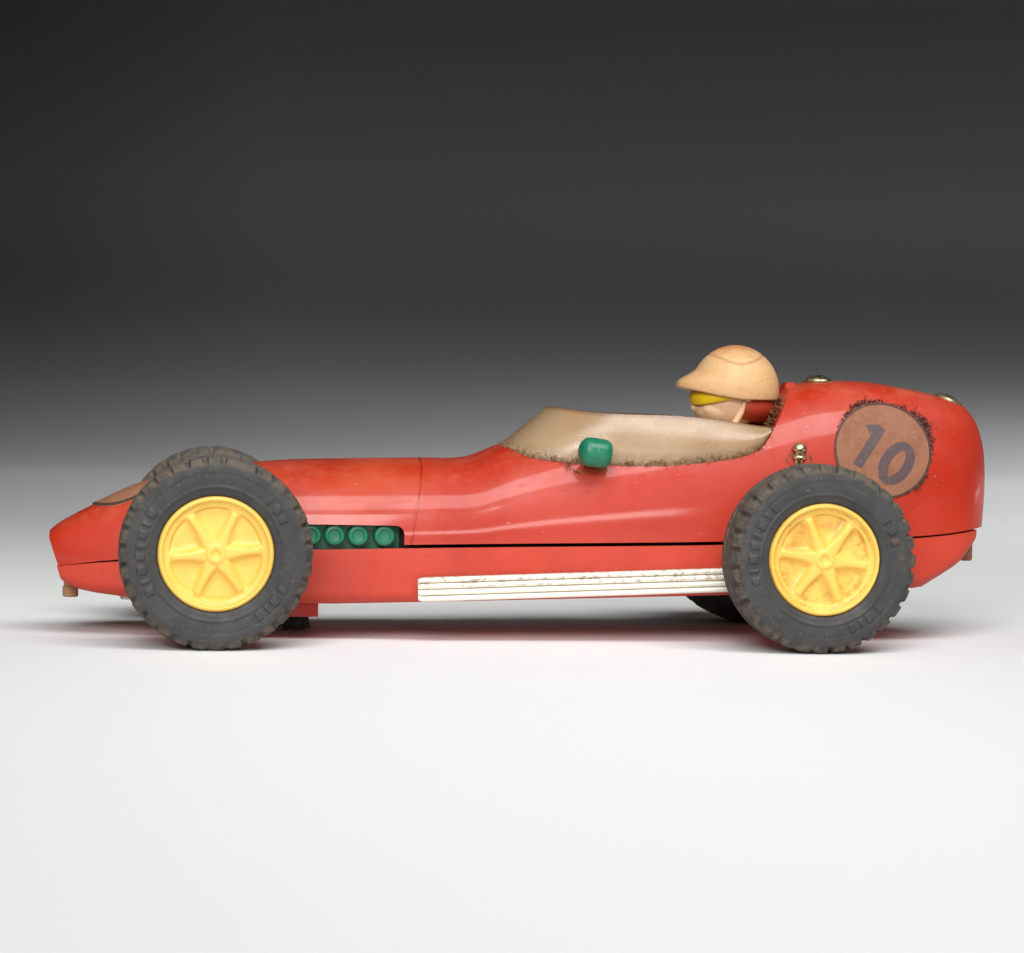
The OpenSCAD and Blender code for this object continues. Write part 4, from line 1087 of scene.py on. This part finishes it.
# ---- fluff caught along the screen and round the caps ----
def hair(at, way, length, r=0.045, bend=0.5):
    """A thin curved fibre."""
    pts = []
    p, d = Vector(at), Vector(way).normalized()
    for k in range(6):
        pts.append(p.copy())
        d = (d + Vector(rng.normal(0, bend, 3))).normalized()
        p = p + d * length / 5
    rings = []
    for k, q in enumerate(pts):
        t = (pts[min(k + 1, 5)] - pts[max(k - 1, 0)]).normalized()
        u = t.orthogonal().normalized()
        w = t.cross(u)
        rr = r * (1 - 0.5 * k / 5)
        rings.append([q + (u * cos(a) + w * sin(a)) * rr for a in (0, 2 * pi / 3, 4 * pi / 3)])
    return rings


def hairs(name, spots):
    verts, faces = [], []
    for rings in spots:
        base = len(verts)
        verts += [tuple(p) for r in rings for p in r]
        n = len(rings)
        for i in range(n - 1):
            for j in range(3):
                a, b = base + i * 3 + j, base + i * 3 + (j + 1) % 3
                faces.append((a, b, b + 3, a + 3))
        faces += [(base + 2, base + 1, base), (base + n * 3 - 3, base + n * 3 - 2, base + n * 3 - 1)]
    me = bpy.data.meshes.new(name)
    me.from_pydata([tuple(c * MM for c in v) for v in verts], [], faces)
    ob = bpy.data.objects.new(name, me)
    scene.collection.objects.link(ob)
    outward(ob)
    return ob


spots = []
for k in range(900):
    side = -1 if k % 2 else 1
    u = side * rng.beta(2.2, 1.3)
    q = Vector(foot_point(abs(u), 0.0))
    q.y *= side
    q += Vector((rng.normal(0, 0.3), side * abs(rng.normal(0, 0.12)), abs(rng.normal(0, 0.35))))
    spots.append(hair(q, (rng.normal(0, 1), side * 0.25, 0.25 + rng.normal(0, 0.3)), rng.uniform(0.5, 1.6)))
for k in range(260):
    side = -1 if k % 2 else 1
    a = rng.uniform(0, 2 * pi)
    q = Vector((9 + 3.2 * cos(a), side * 15.7, 31.2 + 0.9 * sin(a)))
    q.y = side * (side_y(q.x, min(q.z, 31.6)) + 0.1)
    spots.append(hair(q, (cos(a), side * 0.6, sin(a) * 0.6), rng.uniform(0.6, 1.8)))
for k in range(200):
    side = -1 if k % 2 else 1
    x = rng.uniform(40, 46.5)
    z = along(cockpit_line, x)
    spots.append(hair((x, side * rng.uniform(0.3, 1) * (side_y(x, z) - 0.2), z + 0.05),
        (-0.6, side * 0.2, 0.5), rng.uniform(0.6, 1.9)))
place(hairs("cockpit_fluff", spots), "car", "tub_brown", fluff_mat)
spots = []
for x, lift in ((54, -0.25), (78.2, -0.9)):
    for k in range(90):
        a = rng.uniform(0, 2 * pi)
        q = Vector((x + (cap_r + 0.25) * cos(a), (cap_r + 0.25) * sin(a),
            crown(x) + lift - 0.35 * (x > 70) * cos(a)))
        spots.append(hair(q, (-sin(a), cos(a), 0.35), rng.uniform(0.4, 1.3)))
for side in (-1, 1):
    for k in range(80):
        a = rng.uniform(0, 2 * pi)
        x, z = 47.2 + 2.2 * cos(a), 33.0 + 1.3 * sin(a)
        spots.append(hair((x, side * (side_y(x, z) + 0.05), z), (-sin(a), side * 0.4, cos(a)),
            rng.uniform(0.4, 1.2)))
place(hairs("cap_fluff", spots), "car", "tub_brown", fluff_mat)

# ---- number discs ----
def on_side(side, u, v, lift):
    """Disc coordinates in millimetres, as the disc is seen from outside, to a point over the body's side."""
    x = roundel_x + u * (1 if side < 0 else -1)
    z = roundel_z + v * roundel_squash
    return (x, side * (side_y(x, z) + lift), z)


def disc(name, to_point, r, low, high, rows=10, steps=96):
    verts, faces = [], []
    for lift in (high, low):
        for i in range(rows + 1):
            f = max(0.02, i / rows)
            for k in range(steps):
                a = 2 * pi * k / steps
                verts.append(to_point(r * f * cos(a), r * f * sin(a), lift))
    n = (rows + 1) * steps
    for i in range(rows):
        for k in range(steps):
            a, b = i * steps + k, i * steps + (k + 1) % steps
            faces.append((a, b, b + steps, a + steps))
            faces.append((n + a, n + a + steps, n + b + steps, n + b))
    for k in range(steps):
        a, b = rows * steps + k, rows * steps + (k + 1) % steps
        faces.append((a, b, n + b, n + a))
    faces.append(tuple(range(steps)))
    faces.append(tuple(n + k for k in range(steps - 1, -1, -1)))
    return new_mesh(name, verts, faces)


def stroke(name, to_point, path, widths, lift, closed=False):
    """A thin raised mark along a path on the disc."""
    pts = [Vector(p) for p in path]
    n = len(pts)
    rings = []
    for i in range(n):
        a, b = pts[(i - 1) % n if closed else max(i - 1, 0)], pts[(i + 1) % n if closed
            else min(i + 1, n - 1)]
        t = (b - a).normalized()
        nrm = Vector((-t.y, t.x))
        w = widths[i] if hasattr(widths, "__len__") else widths
        cols = [pts[i] + nrm * w * s for s in (-0.5, -0.25, 0, 0.25, 0.5)]
        rings.append([to_point(c.x, c.y, lift) for c in cols] + [to_point(c.x, c.y, lift - 0.05)
            for c in reversed(cols)])
    if closed:
        rings.append(rings[0])
    return rings_mesh(name, rings, caps=not closed)


def digits(to_point, lift):
    rot = radians(-33)
    def turn(p):
        return (p[0] * cos(rot) - p[1] * sin(rot), p[0] * sin(rot) + p[1] * cos(rot))
    one = [turn((-2.55, -3.85 + 7.7 * k / 24)) for k in range(25)]
    flag = [turn((-4.2 + 1.5 * k / 8, 2.3 + 1.35 * (k / 8) ** 0.8)) for k in range(9)]
    zero = [turn((2.5 + 1.75 * cos(a), 3.2 * sin(a))) for a in round_turn(64)]
    one, flag, zero = [[(1.2 * x - 0.1, 1.18 * y - 0.85) for x, y in path] for path in (one, flag, zero)]
    return [stroke("p", to_point, one, 1.85, lift), stroke("p", to_point, flag,
        [1.6 - 0.08 * k for k in range(9)], lift),
        stroke("p", to_point, zero, [1.55 + 0.35 * abs(cos(a))
        for a in round_turn(64)], lift, True)]


for side, word in ((-1, "left"), (1, "right")):
    f = lambda u, v, lift, side=side: on_side(side, u, v, lift)
    place(disc(f"roundel_{word}_paper", f, roundel_r * 1.06, 0.02, 0.17), "car", "disc_paper", paper_mat,
        f"roundel_{word}")
    place(joined(f"roundel_{word}_number", digits(f, 0.23)), "car", "disc_paper", ink_mat)
    circle = [((roundel_r * 1.06 - 0.2) * cos(a), (roundel_r * 1.06 - 0.2) * sin(a))
        for a in round_turn(120)]
    place(stroke(f"roundel_{word}_edge", f, circle, 0.45, 0.21, True), "car", "disc_paper", edge_mat)
on_nose = lambda u, v, lift: (nose_disc_x + u, v, top_z(nose_disc_x + u, v) + lift)
place(disc("roundel_nose_paper", on_nose, nose_disc_r, 0.02, 0.2), "car", "disc_paper", paper_mat,
    "roundel_nose")
circle = [((nose_disc_r - 0.2) * cos(a), (nose_disc_r - 0.2) * sin(a))
    for a in round_turn(120)]
place(stroke("roundel_nose_edge", on_nose, circle, 0.5, 0.3, True), "car", "disc_paper", edge_mat)

# torn dark residue is left along the upper edge of the disc
for side, word in ((-1, "left"), (1, "right")):
    spots = []
    for mid, spread, count, far in ((0.55, 0.26, 260, 1.5), (2.0, 0.3, 150, 0.7), (-0.75, 0.2, 50, 0.5)):
        for k in range(count):
            a = mid + rng.normal(0, spread)
            r = roundel_r * 1.06 + 0.1 + abs(rng.normal(0, 0.5)) * far * math.exp(-((a - mid) / 0.4) ** 2)
            q = Vector(on_side(side, r * cos(a), r * sin(a), 0.06))
            spots.append(hair(q, (rng.normal(0, 1), side * 0.1, rng.normal(0, 1)), rng.uniform(0.4, 1.1),
                0.09, 0.7))
    place(hairs(f"roundel_{word}_residue", spots), "car", "disc_paper", edge_mat)

# ---- brush, peg and clip ----
fibres = []
for k in range(170):
    a, r = rng.uniform(0, 2 * pi), math.sqrt(rng.uniform(0, 1))
    x0, y0 = brush_x + 0.2 + 2.4 * r * cos(a), 2.6 * r * sin(a)
    x1, y1 = brush_x + 0.2 + 2.6 * r * cos(a) + rng.normal(0, 0.5), 2.4 * r * sin(a) + rng.normal(0, 0.4)
    z1 = 0.45 + abs(rng.normal(0, 0.5))
    fibres.append(rod("p", (x0, y0, brush_low - 0.1), (x1, y1, min(2.4, z1)), 0.13, 0.07, 6, 2))
place(joined("bristle_tuft_fibres", fibres), "car", "bristle_black", bristle_mat, "bristle_tuft")
peg = lathe("guide_peg_turned", [(0, 0), (1.15, 0), (1.35, 0.12), (1.4, 0.35), (1.4, 1.8), (1.2, 1.8),
    (1.2, 4), (0, 4)], 48, (peg_x, 0, 6.2))
place(peg, "car", "peg_amber", amber, "guide_peg")
clip = box_mesh("tail_clip_sheet", (tab_x, -tab_w / 2, 14.4), (tab_x + tab_l, tab_w / 2, 19.2))
bevelled(clip, 0.5, 3)
place(clip, "car", "tab_rust", rust, "tail_clip")

# ---- camera, light and floor ----
AZ, DIST, EYE, PITCH, ROLL, AIM_X, FOCAL = -7.0, 500.0, 46.4, 2.03, 1.01, -2.4, 2755.0
cam = bpy.data.cameras.new("camera")
camera = bpy.data.objects.new("camera", cam)
scene.collection.objects.link(camera)
cam.sensor_width, cam.lens, cam.clip_start, cam.clip_end = 36, FOCAL / 1024 * 36, 0.01, 50
a, p = radians(AZ), radians(PITCH)
where = Vector((AIM_X + DIST * sin(a), -DIST * cos(a), EYE)) * MM
look = Vector((-sin(a) * cos(p), cos(a) * cos(p), -sin(p)))
m = look.to_track_quat("-Z", "Y").to_matrix() @ Matrix.Rotation(radians(ROLL), 3, "Z")
camera.matrix_world = Matrix.Translation(where) @ m.to_4x4()
scene.camera = camera

profile = [(-3.0, 0.0), (0.9, 0.0)] + [(0.9 + 1.2 * sin(t), 1.2 - 1.2 * cos(t))
    for t in np.linspace(0.03, pi / 2, 40)] + [(2.1, 3.5)]
verts = [(x, y, z) for x in (-5.0, 5.0) for y, z in profile]
n = len(profile)
me = bpy.data.meshes.new("floor")
me.from_pydata(verts, [], [(j, j + 1, n + j + 1, n + j) for j in range(n - 1)])
floor = bpy.data.objects.new("floor", me)
scene.collection.objects.link(floor)
me.shade_smooth()
# the sheet's colour is painted from white under the car to dark grey up the backdrop, a painted fall-off of the
# light
f = Finish("floor_paper", (238, 240, 242), 0.75, **{"Specular_IOR_Level": 0.25})
ramp = f.t.nodes.new("ShaderNodeValToRGB")
ramp.color_ramp.interpolation = "CARDINAL"
f.link(f.math("DIVIDE", f.math("ADD", f.axis(1), 300.0), 2400.0), ramp.inputs[0])
painted_falloff_greys = [(-300, 0.65), (-60, 0.95), (300, 0.97), (500, 0.8), (650, 0.7), (1000, 0.7), (1200, 0.44),
    (1350, 0.22),
    (1550, 0.2), (1750, 0.11)]
while len(ramp.color_ramp.elements) < len(painted_falloff_greys):
    ramp.color_ramp.elements.new(0.5)
for e, (y, g) in zip(ramp.color_ramp.elements, painted_falloff_greys):
    e.position, e.color = (y + 300) / 2400, (g, g * 1.012, g * 1.03, 1)
# darker to the left and at both near sides, lighter to the right: painted shade and light across the sheet
away = f.ramp(f.axis(1), 60, 400)
left = f.times(f.times(f.math("MINIMUM", f.axis(0), 0.0), 0.0026), away)
wall_part = f.math("SUBTRACT", 1.0, f.times(f.ramp(f.axis(1), 1050, 1350), 0.85))
right = f.times(f.times(f.times(f.math("MAXIMUM", f.axis(0), 0.0), 0.0018),
    away), wall_part)
near = f.times(f.math("POWER", f.math("DIVIDE", f.math("ABSOLUTE", f.axis(0)), 265.0), 2.0),
    f.ramp(f.axis(1), 60, -20))
lean = f.math("SUBTRACT", f.math("ADD", left, right), near)
scaled = f.t.nodes.new("ShaderNodeVectorMath")
scaled.operation = "SCALE"
f.link(ramp.outputs["Color"], scaled.inputs[0])
f.link(f.times(f.math("POWER", 2.718, lean), 0.92), scaled.inputs["Scale"])
f.colour = scaled.outputs[0]
me.materials.append(f.done())


def softbox(name, at, aim, size, power, colour=(1, 1, 1)):
    L = bpy.data.lights.new(name, "AREA")
    L.shape, L.size, L.size_y, L.energy, L.color = "RECTANGLE", size[0], size[1], power, colour
    ob = bpy.data.objects.new(name, L)
    scene.collection.objects.link(ob)
    d = Vector(aim) - Vector(at)
    ob.matrix_world = Matrix.Translation(at) @ d.to_track_quat("-Z", "Y").to_matrix().to_4x4()
    return ob


softbox("top_softbox", (0.10, -0.46, 0.66), (0.0, 0.0, 0.0), (0.8, 0.34), 6.5, (1.0, 0.995, 0.985))
softbox("front_fill", (-0.30, -1.05, 0.52), (0, 0, 0.02), (0.5, 0.35), 8.4, (1.0, 0.99, 0.97))
softbox("side_strip", (0.04, -1.1, 0.15), (0, 0, 0.025), (0.42, 0.06), 1.2, (1.0, 0.99, 0.97))
wash = softbox("floor_wash", (0.05, 0.70, 0.62), (0.05, 0.701, 0), (1.5, 0.4), 0.8)
wash.data.spread = radians(84)
world = bpy.data.worlds.new("studio")
scene.world = world
world.use_nodes = True
world.node_tree.nodes["Background"].inputs[0].default_value = (0.03, 0.031, 0.033, 1)
world.node_tree.nodes["Background"].inputs[1].default_value = 1.0
